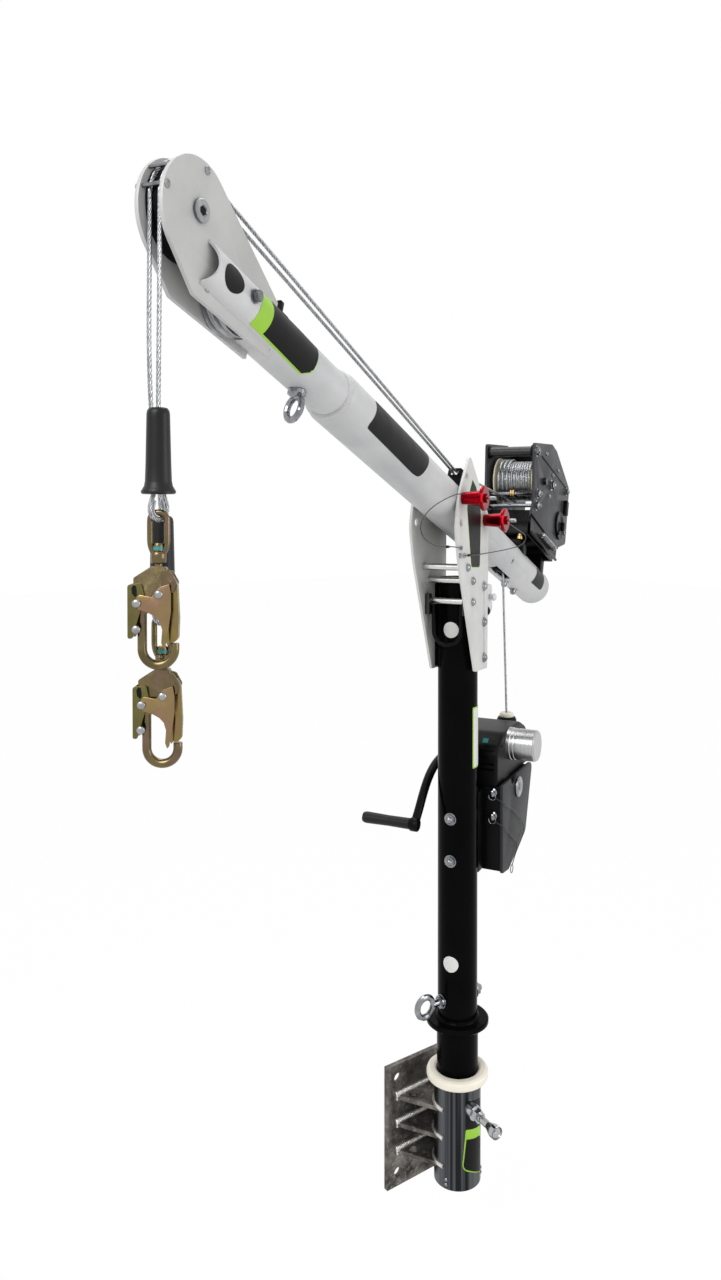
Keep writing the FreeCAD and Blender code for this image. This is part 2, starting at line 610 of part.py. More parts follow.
def touch(start, centre, r, side):
    flat = V(start.x, 0, start.z)
    middle = V(centre.x, 0, centre.z)
    reach = math.sqrt((middle - flat).Length ** 2 - r ** 2)
    return flat + tangent(flat, middle, r, side) * reach


def head_wrap(side):
    middle = axle_at + Y * side * SHEAVE_Y
    first = touch(fair_point(side), axle_at, SHEAVE_R, -1) - axle_at
    return wrap(middle, SHEAVE_R, angle_of(first), angle_of(drop_side) + 2 * math.pi, 3)


def drop_top(side):
    return axle_at + drop_side * SHEAVE_R + Y * side * SHEAVE_Y


drum_touch = touch(fair_point(-1), drum_at, WIND_TOP_R, -1) + Y * WIND_SIDE
leave = (fair_point(-1) - drum_touch).normalize()
hoist_points = [drum_touch + leave * 5.5, fair_point(-1)] + head_wrap(-1) + [drop_top(-1)]
hoist_radii = [120] + [SHEAVE_R * WRAP_SHARE] * 3
hoist = cord(hoist_points, hoist_radii, ROPE_R, ROPE_SIDES)
save("hoist_rope", at_boom(hoist))

GUIDE_TOP = GUIDE + Z * 10
rise_line = FreeCAD.Rotation(Y, -TILT).multVec(Z)
touch_low = tail_at + V(rise_line.z, 0, -rise_line.x) * TAIL_R
tail_in = touch(fair_point(1), tail_at, TAIL_R, 1) - V(tail_at.x, 0, tail_at.z)
tail_wrap = wrap(tail_at, TAIL_R, angle_of(tail_in), angle_of(touch_low - tail_at), 3)
life_points = [drop_top(1)] + head_wrap(1)[::-1] + [fair_point(1)] + tail_wrap + [touch_low - rise_line]
life_radii = [SHEAVE_R * WRAP_SHARE] * 3 + [120] + [TAIL_R * 0.95] + [TAIL_R * WRAP_SHARE] * 2
lifeline = cord(life_points, life_radii, ROPE_R, ROPE_SIDES)
save("lifeline_rope", at_boom(lifeline))

rise_top = boom_to_mast(touch_low - rise_line * 1.4)
rise = rod(GUIDE_TOP, rise_top - GUIDE_TOP, ROPE_R, (rise_top - GUIDE_TOP).Length)
save("lifeline_rise", at_mast(rise))

# Winding: one tube of quarter-turn arcs, from the rope's touch over a loose top layer down to the full layer
touch_angle = angle_of(drum_touch - drum_at)
CLIMB_TURNS = 0.5


def winding_place(turn):
    if turn <= WIND_TOP_TURNS:
        return WIND_TOP_R, WIND_SIDE + WIND_TOP_PITCH * turn
    side = WIND_SIDE + WIND_TOP_PITCH * WIND_TOP_TURNS - WIND_PITCH * (turn - WIND_TOP_TURNS)
    share = min((turn - WIND_TOP_TURNS) / CLIMB_TURNS, 1)
    return WIND_TOP_R + (WIND_R - WIND_TOP_R) * share, side


def winding_point(turn):
    r, side = winding_place(turn)
    a = touch_angle + 2 * math.pi * turn
    return V(math.cos(a) * r, side, math.sin(a) * r)


quarters = int((WIND_TOP_TURNS + CLIMB_TURNS + WIND_TURNS) * 4)
arcs = []
for i in range(quarters):
    ends = [winding_point((i + share) / 4) for share in (0, 0.5, 1)]
    arcs.append(Part.Arc(ends[0], ends[1], ends[2]).toShape())
first_way = arcs[0].tangentAt(arcs[0].FirstParameter)
last_way = arcs[-1].tangentAt(arcs[-1].LastParameter)
first_end = winding_point(0) - first_way * 2 * ROPE_R
last_end = winding_point(quarters / 4) + last_way * 2 * ROPE_R
lead_in = Part.LineSegment(first_end, winding_point(0)).toShape()
lead_out = Part.LineSegment(winding_point(quarters / 4), last_end).toShape()
winding = Part.Wire([lead_in] + arcs + [lead_out])
winding = winding.makePipeShell([section(first_end, first_way, ROPE_R, ROPE_SIDES)], True, False)
core = ring(V(0, -37.6, 0), Y, WIND_R - ROPE_R - 0.2, 30.05, 81.2)
save("winch_winding", at_boom(moved(group([winding, core]), drum_at)))

samples = [winding_point(i / 36) for i in range(quarters * 9)]
nearest = 1e9
for i in range(len(samples)):
    for k in range(i + 18, len(samples)):
        nearest = min(nearest, (samples[i] - samples[k]).Length - 2 * ROPE_R)
print("winding self gap mm", round(nearest, 2))

# Lock pins with their push buttons
def quick_pin(shank_r, deep):
    body = spun([(2.5, -deep), (shank_r, -deep), (shank_r, 0.3), (10.5, 0.3), (13.5, 34), (19, 35), (22, 37), (22, 40),
                 (19, 42), (8, 42), (8, 46), (2.5, 46)], V(0, 0, 0), Y * -1)
    return body.fuse(rod(V(0, deep - 2, 0), Y, 2.6, 2)).removeSplitter()


button = spun([(0, 3), (2.5 - GAP, 3), (2.5 - GAP, 49), (3.5, 50), (3.5, 59), (2.5, 60), (0, 60)], V(0, 0, 0), Y * -1)
lock_a = math.radians(TILT)
angle_at = V(PIVOT.x - ANGLE_R * math.cos(lock_a), -PLATE_OUT, PIVOT.z + ANGLE_R * math.sin(lock_a))
pivot_at = V(PIVOT.x, -PLATE_OUT, PIVOT.z)
save("angle_pin", at_mast(moved(quick_pin(7, PLATE_T - 0.1), angle_at)))
save("angle_pin_button", at_mast(moved(button, angle_at)))
save("pivot_pin", at_mast(moved(quick_pin(8, 2 * PLATE_OUT + 14), pivot_at)))
save("pivot_pin_button", at_mast(moved(button, pivot_at)))

# Wire lanyards from the plate's screws to the pins
angle_lanyard = [V(-106.5, -49.5, 1258), V(-130, -50.5, 1259.5), V(-165, -51, 1255), V(-205, -51.5, 1248),
                 V(-250, -52, 1238), V(-285, -52, 1225), V(-305, -52, 1209), V(-298, -52, 1194), V(-275, -52, 1183),
                 V(-240, -51.5, 1175), V(-200, -51, 1172), V(-165, -50, 1171), V(-135, -49.5, 1168.5),
                 V(-112, -49, 1166.5)]
pivot_lanyard = [V(-104, -49, 1153), V(-84, -49.5, 1152.5), V(-50, -50, 1151.5), V(-5, -50.5, 1151.8), V(45, -54, 1153),
                 V(85, -60, 1154.8), V(122, -67, 1157.5), V(150, -74, 1161.5), V(165, -78, 1168),
                 V(164, -80.5, 1177), V(149, -82, 1184), V(120, -83.5, 1189), V(88, -84.5, 1195.5), V(62, -84.5, 1201.5),
                 V(45.5, -84, 1205.5)]
for name, points in (("angle", angle_lanyard), ("pivot", pivot_lanyard)):
    bends = loose_radii(points)
    print(name, "lanyard radii mm", [round(r, 1) for r in bends])
    lanyard = cord(points, bends, LANYARD_R, 6)
    print(name, "lanyard mm", round(lanyard.Volume / (1.5 * math.sqrt(3) * LANYARD_R ** 2), 1))
    save(name + "_pin_lanyard", at_mast(lanyard))

# Rope ends and snap hooks
def at_hook(shape, spot):
    return at_mast(moved(turned(shape, V(0, 0, 0), Z, HOOK_TURN), spot))


bumper = spun([(9, LINK_H), (17, LINK_H), (17, LINK_H + 1.5), (13, LINK_H + 9), (12.2, LINK_H + 14),
               (11, LINK_H + BUMPER_H - 3), (9, LINK_H + BUMPER_H), (ROPE_R + 0.4, LINK_H + BUMPER_H),
               (ROPE_R + 0.4, LINK_H + 24), (9, LINK_H + 18)], V(0, 0, 0), Z)
rope_tail = rod(V(0, 0, LINK_H + 30), Z, ROPE_R, BUMPER_H - 30)
thimble = cord([V(0, -2.7, LINK_H + 16), V(0, -10.5, 42), V(0, 10.5, 42), V(0, 2.7, LINK_H + 16)], [8, 8], ROPE_R,
               ROPE_SIDES)
collar = ring(V(0, 0, 0.4), Z, 7.5, 3.5 + GAP, 12)
link = cord([V(-4, 0, 10), V(-8.5, 0, 18), V(-8.5, 0, 49), V(8.5, 0, 49), V(8.5, 0, 18), V(4, 0, 10)],
            [8, 7.5, 7.5, 8], 3, ROPE_SIDES)
link = fuse([collar, link.cut(rod(V(0, 0, -5), Z, 3.5 + GAP, 17.4))])

BAR_R = 4.8
GATE_PIN = (13.7, -19)
LOCK_PIN = (-19.9, -38.9)
shank = cord([V(-16.6, 0, -34), V(-16.6, 0, -101.4), V(15.6, 0, -101.4), V(15.6, 0, -79.6)], [16, 16], BAR_R, 12)
web = outline([(-24, -14, 3), (-17.6, -9.9, 2), (-6, -2.4, 4), (7.6, -2.4, 4), (9.1, -11.4, 1), (9.1, -34, 4),
               (0, -38, 6), (-9.5, -49.5, 4), (-23, -49.5, 4)], 11.4, -5.7)
ear = outline([(3.8, -4.7, 3), (13.2, -7.6, 4), (19.4, -19, 4), (16.1, -28.4, 4), (3.8, -31.3, 3)], 2.5, 4.2)
web = web.cut(box(2.5, 12, -4.15, 4.15, -46, -9.5))
stem = rod(V(0, 0, -4), Z, 3.5, 15)
gate_pin = rod(V(GATE_PIN[0], -7.6, GATE_PIN[1]), Y, 2, 15.2)
lock_pin = rod(V(LOCK_PIN[0], -10, LOCK_PIN[1]), Y, 2, 20)
heads = [dome(V(LOCK_PIN[0], s * 9.5, LOCK_PIN[1]), Y * s, 4.2, 2, 1, 0) for s in (-1, 1)]
heads = heads + [dome(V(1.9, s * 5.7, -30), Y * s, 4.2, 2, 1, 0.5) for s in (-1, 1)]
hook = fuse([shank, web, ear, mirrored(ear), stem, gate_pin, lock_pin] + heads)
gate = outline([(9.9, -12.3, 1.5), (15.2, -12.3, 3), (19, -19, 3), (20.7, -55, 6), (19.9, -74.5, 4), (16.1, -78.2, 2),
                (10.9, -78.2, 2), (10.4, -60, 4), (9.9, -32.2, 1)], 7.6, -3.8)
gate = gate.cut(rod(V(GATE_PIN[0], -9, GATE_PIN[1]), Y, 2 + GAP, 18))
lever = outline([(-29.2, -20.5, 3), (-15.2, -19, 3), (-12.3, -32, 4), (-16.1, -45.5, 4), (-24.6, -74, 2),
                 (-29.2, -74, 2)], 17, -8.5)
lever = lever.cut(box(-27, 0, -6.1, 6.1, -90, 0))
lever = lever.cut(rod(V(LOCK_PIN[0], -20, LOCK_PIN[1]), Y, 2 + GAP, 40))

for tag, name, spot, side in (("a", "hoist", HOOK_A, -1), ("b", "lifeline", HOOK_B, 1)):
    save(name + "_rope_end", at_hook(group([bumper, rope_tail, thimble]), spot))
    save(name + "_link", at_hook(link, spot))
    save("hook_" + tag + "_body", at_hook(hook, spot))
    save("hook_" + tag + "_gate", at_hook(gate, spot))
    save("hook_" + tag + "_lock", at_hook(lever, spot))
    top_end = boom_to_mast(drop_top(side) + plumb * 0.8)
    low_end = spot + Z * (LINK_H + BUMPER_H + 0.6)
    save(name + "_rope_drop", at_mast(rod(top_end, low_end - top_end, ROPE_R, (low_end - top_end).Length)))
area = ROPE_SIDES / 2 * math.sin(2 * math.pi / ROPE_SIDES) * ROPE_R ** 2
print("hoist rope mm", round(hoist.Volume / area, 1))
print("lifeline rope mm", round(lifeline.Volume / area, 1))
print("rise mm", round((rise_top - GUIDE_TOP).Length, 1))
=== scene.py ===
# %% [markdown]
# # A wall-mounted davit crane
# The crane hangs on a wall: a slewing mast in a bolted sleeve, a tilting boom with two rope
# sheaves, a hand winch, a lifeline unit with its crank, and two snap hooks. The solid parts are
# loaded as a fixed frame, and this lesson gives them their finishes, ropes and small fittings.

# %% Load the frame
import json
import math
import bpy
from mathutils import Matrix, Vector
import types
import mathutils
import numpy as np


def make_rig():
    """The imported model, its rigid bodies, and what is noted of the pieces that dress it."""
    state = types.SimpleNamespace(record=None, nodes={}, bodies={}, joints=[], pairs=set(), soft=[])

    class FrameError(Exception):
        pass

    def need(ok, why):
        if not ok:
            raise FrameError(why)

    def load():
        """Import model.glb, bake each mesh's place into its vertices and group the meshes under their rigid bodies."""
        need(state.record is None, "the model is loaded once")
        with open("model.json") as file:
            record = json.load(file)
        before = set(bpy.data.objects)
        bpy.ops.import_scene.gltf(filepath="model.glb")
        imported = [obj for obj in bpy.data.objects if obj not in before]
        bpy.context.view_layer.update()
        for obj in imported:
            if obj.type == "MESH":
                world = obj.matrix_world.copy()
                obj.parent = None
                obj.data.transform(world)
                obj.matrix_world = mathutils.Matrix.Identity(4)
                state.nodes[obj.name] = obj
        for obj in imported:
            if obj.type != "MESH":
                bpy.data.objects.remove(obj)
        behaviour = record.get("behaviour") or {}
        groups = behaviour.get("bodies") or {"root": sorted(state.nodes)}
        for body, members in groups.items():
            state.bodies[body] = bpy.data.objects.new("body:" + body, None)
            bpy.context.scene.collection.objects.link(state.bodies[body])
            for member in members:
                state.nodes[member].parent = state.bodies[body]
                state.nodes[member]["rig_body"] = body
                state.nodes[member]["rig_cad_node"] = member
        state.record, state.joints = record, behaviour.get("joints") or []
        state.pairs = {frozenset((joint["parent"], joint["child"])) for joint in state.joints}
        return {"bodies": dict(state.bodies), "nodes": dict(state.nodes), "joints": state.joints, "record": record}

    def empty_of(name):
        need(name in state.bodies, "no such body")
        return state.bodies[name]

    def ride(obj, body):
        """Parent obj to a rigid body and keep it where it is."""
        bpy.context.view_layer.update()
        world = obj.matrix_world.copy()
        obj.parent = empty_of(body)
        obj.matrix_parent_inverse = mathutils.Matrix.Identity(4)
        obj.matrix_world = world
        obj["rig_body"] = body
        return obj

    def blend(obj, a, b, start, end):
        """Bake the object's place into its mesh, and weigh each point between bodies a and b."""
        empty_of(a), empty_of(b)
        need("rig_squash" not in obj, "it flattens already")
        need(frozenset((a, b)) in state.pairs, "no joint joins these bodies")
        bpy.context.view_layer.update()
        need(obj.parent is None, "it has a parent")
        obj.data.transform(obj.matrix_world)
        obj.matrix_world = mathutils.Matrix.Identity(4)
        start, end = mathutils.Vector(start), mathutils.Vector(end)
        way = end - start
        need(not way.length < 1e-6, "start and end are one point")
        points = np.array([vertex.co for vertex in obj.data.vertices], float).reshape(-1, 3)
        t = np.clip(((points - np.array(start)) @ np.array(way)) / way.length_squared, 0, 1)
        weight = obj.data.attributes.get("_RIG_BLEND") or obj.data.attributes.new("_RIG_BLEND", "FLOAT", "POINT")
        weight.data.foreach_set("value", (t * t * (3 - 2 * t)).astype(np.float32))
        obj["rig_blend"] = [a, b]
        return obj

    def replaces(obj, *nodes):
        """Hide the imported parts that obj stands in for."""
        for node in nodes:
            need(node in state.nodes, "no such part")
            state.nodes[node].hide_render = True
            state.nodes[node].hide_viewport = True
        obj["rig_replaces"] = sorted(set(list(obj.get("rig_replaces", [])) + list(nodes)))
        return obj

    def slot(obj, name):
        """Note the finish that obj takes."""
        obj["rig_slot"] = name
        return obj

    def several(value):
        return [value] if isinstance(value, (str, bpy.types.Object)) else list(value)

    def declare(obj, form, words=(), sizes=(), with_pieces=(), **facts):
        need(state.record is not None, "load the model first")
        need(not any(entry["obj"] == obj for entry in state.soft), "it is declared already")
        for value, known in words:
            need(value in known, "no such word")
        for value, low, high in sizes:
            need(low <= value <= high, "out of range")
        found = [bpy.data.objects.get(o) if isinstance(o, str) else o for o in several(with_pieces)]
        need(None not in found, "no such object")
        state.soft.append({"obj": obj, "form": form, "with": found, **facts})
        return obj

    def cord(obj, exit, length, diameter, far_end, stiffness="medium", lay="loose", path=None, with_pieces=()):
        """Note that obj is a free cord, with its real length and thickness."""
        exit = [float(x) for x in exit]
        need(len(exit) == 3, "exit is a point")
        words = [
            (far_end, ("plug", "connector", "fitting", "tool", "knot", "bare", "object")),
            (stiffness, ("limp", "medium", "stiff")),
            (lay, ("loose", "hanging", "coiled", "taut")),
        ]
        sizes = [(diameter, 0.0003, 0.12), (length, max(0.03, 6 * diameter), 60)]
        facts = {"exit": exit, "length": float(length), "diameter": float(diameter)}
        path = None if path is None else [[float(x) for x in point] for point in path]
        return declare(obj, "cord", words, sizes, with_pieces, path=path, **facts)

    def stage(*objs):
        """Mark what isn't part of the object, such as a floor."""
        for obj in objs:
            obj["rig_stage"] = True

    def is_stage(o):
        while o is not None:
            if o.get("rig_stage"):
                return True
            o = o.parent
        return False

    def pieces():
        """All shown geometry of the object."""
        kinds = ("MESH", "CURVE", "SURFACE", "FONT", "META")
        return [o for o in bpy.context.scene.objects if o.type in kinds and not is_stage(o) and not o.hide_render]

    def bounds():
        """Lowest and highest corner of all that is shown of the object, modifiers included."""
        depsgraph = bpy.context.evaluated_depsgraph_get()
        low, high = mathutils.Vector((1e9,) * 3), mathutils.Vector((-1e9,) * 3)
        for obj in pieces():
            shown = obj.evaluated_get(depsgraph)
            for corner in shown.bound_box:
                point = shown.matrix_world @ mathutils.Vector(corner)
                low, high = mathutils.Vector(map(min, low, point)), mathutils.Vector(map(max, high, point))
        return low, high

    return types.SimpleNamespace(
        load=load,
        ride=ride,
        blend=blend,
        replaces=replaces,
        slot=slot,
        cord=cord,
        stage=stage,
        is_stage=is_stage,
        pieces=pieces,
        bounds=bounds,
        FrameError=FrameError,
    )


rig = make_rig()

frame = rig.load()
cad_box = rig.bounds()
nodes = frame["nodes"]
joints = {joint["name"]: joint for joint in frame["joints"]}
print("loaded", len(nodes), "parts and", len(joints), "joints")

# %% [markdown]
# The mast is stored turned in its sleeve and the boom is raised, so most places are easier to
# give along the mast or along the boom. The joints of the frame say where those lines are.

# %% Directions and places in millimetres
MM = 0.001
TILT = math.radians(18.84)
HOOK_TURN = math.radians(-64.87)
SLEW_HEIGHT = 150
UP = Vector((0, 0, 1))
SIDE = Vector(joints["boom_tilt"]["axis"]).normalized()
BACK = SIDE.cross(UP)
ALONG = UP * math.sin(TILT) - BACK * math.cos(TILT)
ABOVE = UP * math.cos(TILT) + BACK * math.sin(TILT)
PIVOT = Vector(joints["boom_tilt"]["pos_m"])
FOOT = Vector(joints["mast_slew"]["pos_m"]) - UP * SLEW_HEIGHT * MM
HOOK_OUT = BACK * math.cos(HOOK_TURN) + SIDE * math.sin(HOOK_TURN)
HOOK_AWAY = SIDE * math.cos(HOOK_TURN) - BACK * math.sin(HOOK_TURN)
HOOK_A = Vector(joints["hook_a_swivel"]["pos_m"])
HOOK_B = Vector(joints["hook_b_swivel"]["pos_m"])


def on_mast(x, y, z):
    return FOOT + (BACK * x + SIDE * y + UP * z) * MM


def on_boom(t, y, n):
    return PIVOT + (ALONG * t + SIDE * y + ABOVE * n) * MM


def on_wall(x, y, z):
    return FOOT + Vector((x, y, z)) * MM


def on_hook(spot, u, w, z):
    return spot + (HOOK_OUT * u + HOOK_AWAY * w + UP * z) * MM


def at_side(points, y):
    return [on_boom(t, y, n) for t, n in points]


def on_face(points, y):
    return [on_mast(x, y, z) for x, z in points]


def turn_angles(count):
    return [2 * math.pi * k / count for k in range(count)]


def add(name, data):
    made = bpy.data.objects.new(name, data)
    bpy.context.scene.collection.objects.link(made)
    return made


print("boom pivot at", [round(value, 3) for value in PIVOT])

# %% [markdown]
# The camera stands where the photographer stood: near the height of the boom's pivot, looking almost
# level at the mast. A vertical shift, as on a view camera, keeps the mast upright in the frame.

# %% Camera
LENS = 26.83
SENSOR = 36
SHIFT = (-0.01474, -0.0952)
CAMERA_AT = (-1.16538, -1.40345, 1.1568)
LOOK = Vector((0.6, 0.7999, -0.0128)).normalized()
camera_data = bpy.data.cameras.new("camera")
camera_data.lens = LENS
camera_data.sensor_width = SENSOR
camera_data.shift_x, camera_data.shift_y = SHIFT
camera = add("camera", camera_data)
right = LOOK.cross(UP).normalized()
turn = Matrix((right, right.cross(LOOK), -LOOK)).transposed().to_4x4()
camera.matrix_world = Matrix.Translation(CAMERA_AT) @ turn
bpy.context.scene.camera = camera
print("camera looks along", [round(value, 3) for value in LOOK])

# %% [markdown]
# Shader maths reads best as plain expressions. A Wire holds one socket, and its operators add Math
# nodes. A Finish holds one material and makes any other node with a single method. Colours are
# given as screen values and turned into linear light.

# %% Shader helper


class Wire:
    def __init__(self, finish, socket):
        self.finish = finish
        self.socket = socket

    def math(self, operation, first, second):
        return self.finish.node("ShaderNodeMath", {"operation": operation}, first, second)

    def __add__(self, other):
        return self.math("ADD", self, other)

    def __rsub__(self, other):
        return self.math("SUBTRACT", other, self)

    def __mul__(self, other):
        return self.math("MULTIPLY", self, other)

    def __gt__(self, other):
        return self.math("GREATER_THAN", self, other)


class Finish:
    def __init__(self, name, **constants):
        self.material = bpy.data.materials.new(name)
        self.material.use_nodes = True
        self.tree = self.material.node_tree
        self.shader = self.tree.nodes["Principled BSDF"]
        self.feed(**constants)

    def join(self, value, socket):
        if isinstance(value, Wire):
            self.tree.links.new(value.socket, socket)
        elif value is not None:
            socket.default_value = value

    def feed(self, **sockets):
        for socket, value in sockets.items():
            self.join(value, self.shader.inputs[socket.replace("_", " ")])
        return self

    def node(self, kind, settings=None, *values, output=0, **named):
        made = self.tree.nodes.new(kind)
        for key, value in (settings or {}).items():
            setattr(made, key, value)
        for socket, value in enumerate(values):
            self.join(value, made.inputs[socket])
        for socket, value in named.items():
            self.join(value, made.inputs[socket])
        return Wire(self, made.outputs[output])

    def vector(self, operation, *values, output=0, **named):
        return self.node("ShaderNodeVectorMath", {"operation": operation}, *values, output=output, **named)

    def place(self):
        return self.node("ShaderNodeTexCoord", output="Object")

    def noise(self, scale, detail, roughness=0.55, where=None):
        where = where or self.place()
        return self.node("ShaderNodeTexNoise", Vector=where, Scale=scale, Detail=detail, Roughness=roughness)

    def spread(self, value, low, high):
        return self.node("ShaderNodeMapRange", {"clamp": True}, value, low, high, 0.0, 1.0)

    def along(self, way, start):
        offset = self.vector("SUBTRACT", self.place(), tuple(start))
        return self.vector("DOT_PRODUCT", offset, tuple(way), output="Value")

    def stretched(self, way, share):
        turn = Vector(way).to_track_quat("Z", "Y").to_euler()
        flat = self.node("ShaderNodeMapping", {"vector_type": "TEXTURE"}, self.place(), Rotation=tuple(turn))
        return self.node("ShaderNodeMapping", None, flat, Scale=(1, 1, share))

    def blend(self, share, low, high):
        other_types = [None] * 5
        return self.node("ShaderNodeMix", {"data_type": "RGBA"}, share, *other_types, low, high, output=2)

    def coat(self, colour, roughness, height, strength, depth, **more):
        bump = self.node("ShaderNodeBump", Strength=strength, Distance=depth, Height=height)
        return self.feed(Base_Color=colour, Roughness=roughness, Normal=bump, **more)


def tone(red, green, blue):
    def linear(value):
        value = value / 255
        return value / 12.92 if value <= 0.04045 else ((value + 0.055) / 1.055) ** 2.4
    return (linear(red), linear(green), linear(blue), 1.0)


print("shader helper ready")

# %% [markdown]
# Paint on steel is never one flat colour. The gloss black of the mast has a faint orange-peel
# ripple and dust that dulls it in patches, and the silver paint has fine flakes. Each finish is a
# small function, so that a tint can be changed in one place.

# %% Paints
FLAKE = (0.9, 0.9, 0.9, 1)


def painted(name, low, high, rough, ripple, metallic=0.0, flake=0.0, sheen=0.5):
    finish = Finish(name, Metallic=metallic, Specular_IOR_Level=sheen)
    cloud = finish.spread(finish.noise(9, 5), 0.35, 0.65)
    colour = finish.blend(cloud, tone(*low), tone(*high))
    fine = finish.noise(2600, 2)
    if flake > 0:
        colour = finish.blend(finish.spread(fine, 0.5, 0.75) * flake, colour, FLAKE)
    smear = finish.spread(finish.noise(34, 6), 0.3, 0.75)
    peel = finish.noise(700, 2) + fine * 0.3
    return finish.coat(colour, smear * 0.1 + rough, peel, ripple, 0.0006)


mast_black = painted("mast_black", (3, 3, 4), (7, 7, 8), 0.12, 0.03, sheen=0.03)
silver_paint = painted("silver_paint", (166, 166, 165), (180, 180, 179), 0.44, 0.05, 0.1, 0.2)
# painted light: the mast-head plates wear the same silver paint as the boom head, made lighter here because they stand
# in brighter light
lit_silver_paint = painted("lit_silver_paint", (186, 186, 184), (200, 200, 198), 0.44, 0.05, 0.1, 0.2)
boom_paint = painted("boom_paint", (172, 173, 174), (188, 188, 189), 0.44, 0.04, 0.12, 0.25)
winch_paint = painted("winch_paint", (38, 39, 42), (54, 55, 58), 0.34, 0.1, sheen=0.14)
frame_black = painted("frame_black", (5, 5, 6), (11, 11, 12), 0.26, 0.1, sheen=0.08)
panel_black = painted("panel_black", (14, 14, 15), (22, 22, 23), 0.4, 0.02, sheen=0.12)
panel_pale = painted("panel_pale", (196, 196, 194), (212, 212, 210), 0.45, 0.02)
panel_green = painted("panel_green", (132, 182, 34), (150, 198, 48), 0.4, 0.02)
print("paints ready")

# %% [markdown]
# Bare metals differ mainly in how they were worked. A turned cap has rings from the tool, a drawn
# rod has fine streaks along it, plated bolts are nearly mirrors, and hot-rolled plate is mottled. The
# broad bands along drawn rods and the sleeve are painted reflections of strip lights. The
# gold zinc of the hooks is a thin film, so its tint runs through a short ramp.

# %% Metals
BRIGHT = ((104, 106, 110), (156, 158, 161))
PLATED = ((150, 152, 155), (198, 200, 202))
ZINC_STOPS = (0.3, 0.45, 0.58, 0.7)
CAP_AT = on_mast(133, -58.1, 778)


def polished(name, low, high, rough, grain=0.04, scale=60.0):
    finish = Finish(name, Metallic=1.0)
    cloud = finish.spread(finish.noise(scale, 5), 0.3, 0.7)
    colour = finish.blend(cloud, tone(*low), tone(*high))
    return finish.coat(colour, cloud * 0.08 + rough, finish.noise(1500, 3), grain, 0.0003)


def drawn_with_painted_reflections(name, way, low, high, rough):
    finish = Finish(name, Metallic=1.0)
    streak = finish.noise(900, 4, 0.6, finish.stretched(way, 0.012))
    # painted reflection: the broad band along the rod copies strip-light highlights, while the fine streak is the
    # drawing's own mark
    band = finish.spread(finish.noise(56, 2, 0.5, finish.stretched(way, 0.01)), 0.46, 0.66)
    colour = finish.blend(band * 0.8 + streak * 0.2, tone(*low), tone(*high))
    return finish.coat(colour, streak * 0.16 + rough, streak, 0.08, 0.0004)


def turned(name, centre, axis, low, high, rough, rings):
    finish = Finish(name, Metallic=1.0)
    offset = finish.vector("SUBTRACT", finish.place(), tuple(centre))
    depth = finish.along(axis, centre)
    shift = finish.vector("SCALE", tuple(axis), Scale=depth)
    reach = finish.vector("LENGTH", finish.vector("SUBTRACT", offset, shift), output="Value")
    line = finish.node("ShaderNodeCombineXYZ", None, reach * rings, depth * rings, 0.0)
    groove = finish.noise(1.0, 3, 0.6, line)
    colour = finish.blend(finish.spread(groove, 0.34, 0.66), tone(*low), tone(*high))
    return finish.coat(colour, groove * 0.18 + rough, groove, 0.25, 0.0003)


def rolled_plate(name):
    finish = Finish(name, Metallic=0.85)
    scale = finish.spread(finish.noise(24, 8, 0.62), 0.36, 0.64)
    spots = finish.spread(finish.noise(130, 5, 0.7), 0.52, 0.7)
    colour = finish.blend(scale, tone(58, 56, 53), tone(124, 120, 114))
    colour = finish.blend(spots * 0.6, colour, tone(168, 164, 158))
    height = finish.noise(310, 6, 0.7) + scale * 0.4
    return finish.coat(colour, 0.62 - scale * 0.2, height, 0.3, 0.0006)


def gold_zinc(name, *shades):
    finish = Finish(name, Metallic=1.0)
    colour = finish.node("ShaderNodeValToRGB", None, finish.noise(30, 3, 0.45))
    stops = colour.socket.node.color_ramp.elements
    for spot in ZINC_STOPS[1:-1]:
        stops.new(spot)
    for stop, spot, shade in zip(stops, ZINC_STOPS, shades):
        stop.position = spot
        stop.color = tone(*shade)
    wear = finish.spread(finish.noise(220, 5), 0.35, 0.75)
    return finish.coat(colour, wear * 0.14 + 0.2, finish.noise(420, 4), 0.04, 0.0004)


chrome = polished("chrome", *BRIGHT, 0.1)
plated = polished("plated", *PLATED, 0.1)
dull_steel = polished("dull_steel", (120, 121, 123), (176, 177, 178), 0.3, 0.1)
cast_dark = polished("cast_dark", (52, 52, 54), (86, 86, 88), 0.38, 0.2)
rope_wire = polished("rope_wire", (132, 134, 137), (206, 208, 210), 0.28, 0.08, 300)
brass = polished("brass", (170, 138, 82), (206, 180, 126), 0.24, 0.08)
weld_steel = polished("weld_steel", (188, 186, 182), (240, 238, 234), 0.34, 0.1, 130)
# both drawn steels carry painted reflection bands, and on the sleeve they run from near black to bright
spacer_steel = drawn_with_painted_reflections("spacer_steel", SIDE, (196, 196, 194), (232, 232, 229), 0.16)
sleeve_steel = drawn_with_painted_reflections("sleeve_steel", UP, (5, 5, 7), (116, 118, 122), 0.2)
plate_steel = rolled_plate("plate_steel")
hook_zinc = gold_zinc("hook_zinc", (96, 86, 60), (116, 103, 72), (106, 94, 70), (124, 100, 86))
lever_zinc = gold_zinc("lever_zinc", (96, 92, 54), (112, 106, 64), (104, 98, 60), (118, 105, 72))
cheek_zinc = gold_zinc("cheek_zinc", (132, 116, 76), (148, 126, 86), (142, 118, 88), (154, 118, 100))
gate_zinc = gold_zinc("gate_zinc", (122, 108, 64), (140, 122, 74), (132, 114, 72), (142, 116, 84))
cap_metal = turned("cap_metal", CAP_AT, SIDE, (150, 151, 152), (204, 204, 204), 0.2, 900.0)
print("metals ready")

# %% [markdown]
# Moulded plastics and rubber have a fine grain from the mould and no metal in them. The cream
# nylon of the liner is slightly waxy and picks up grey smears.

# %% Plastics and rubber


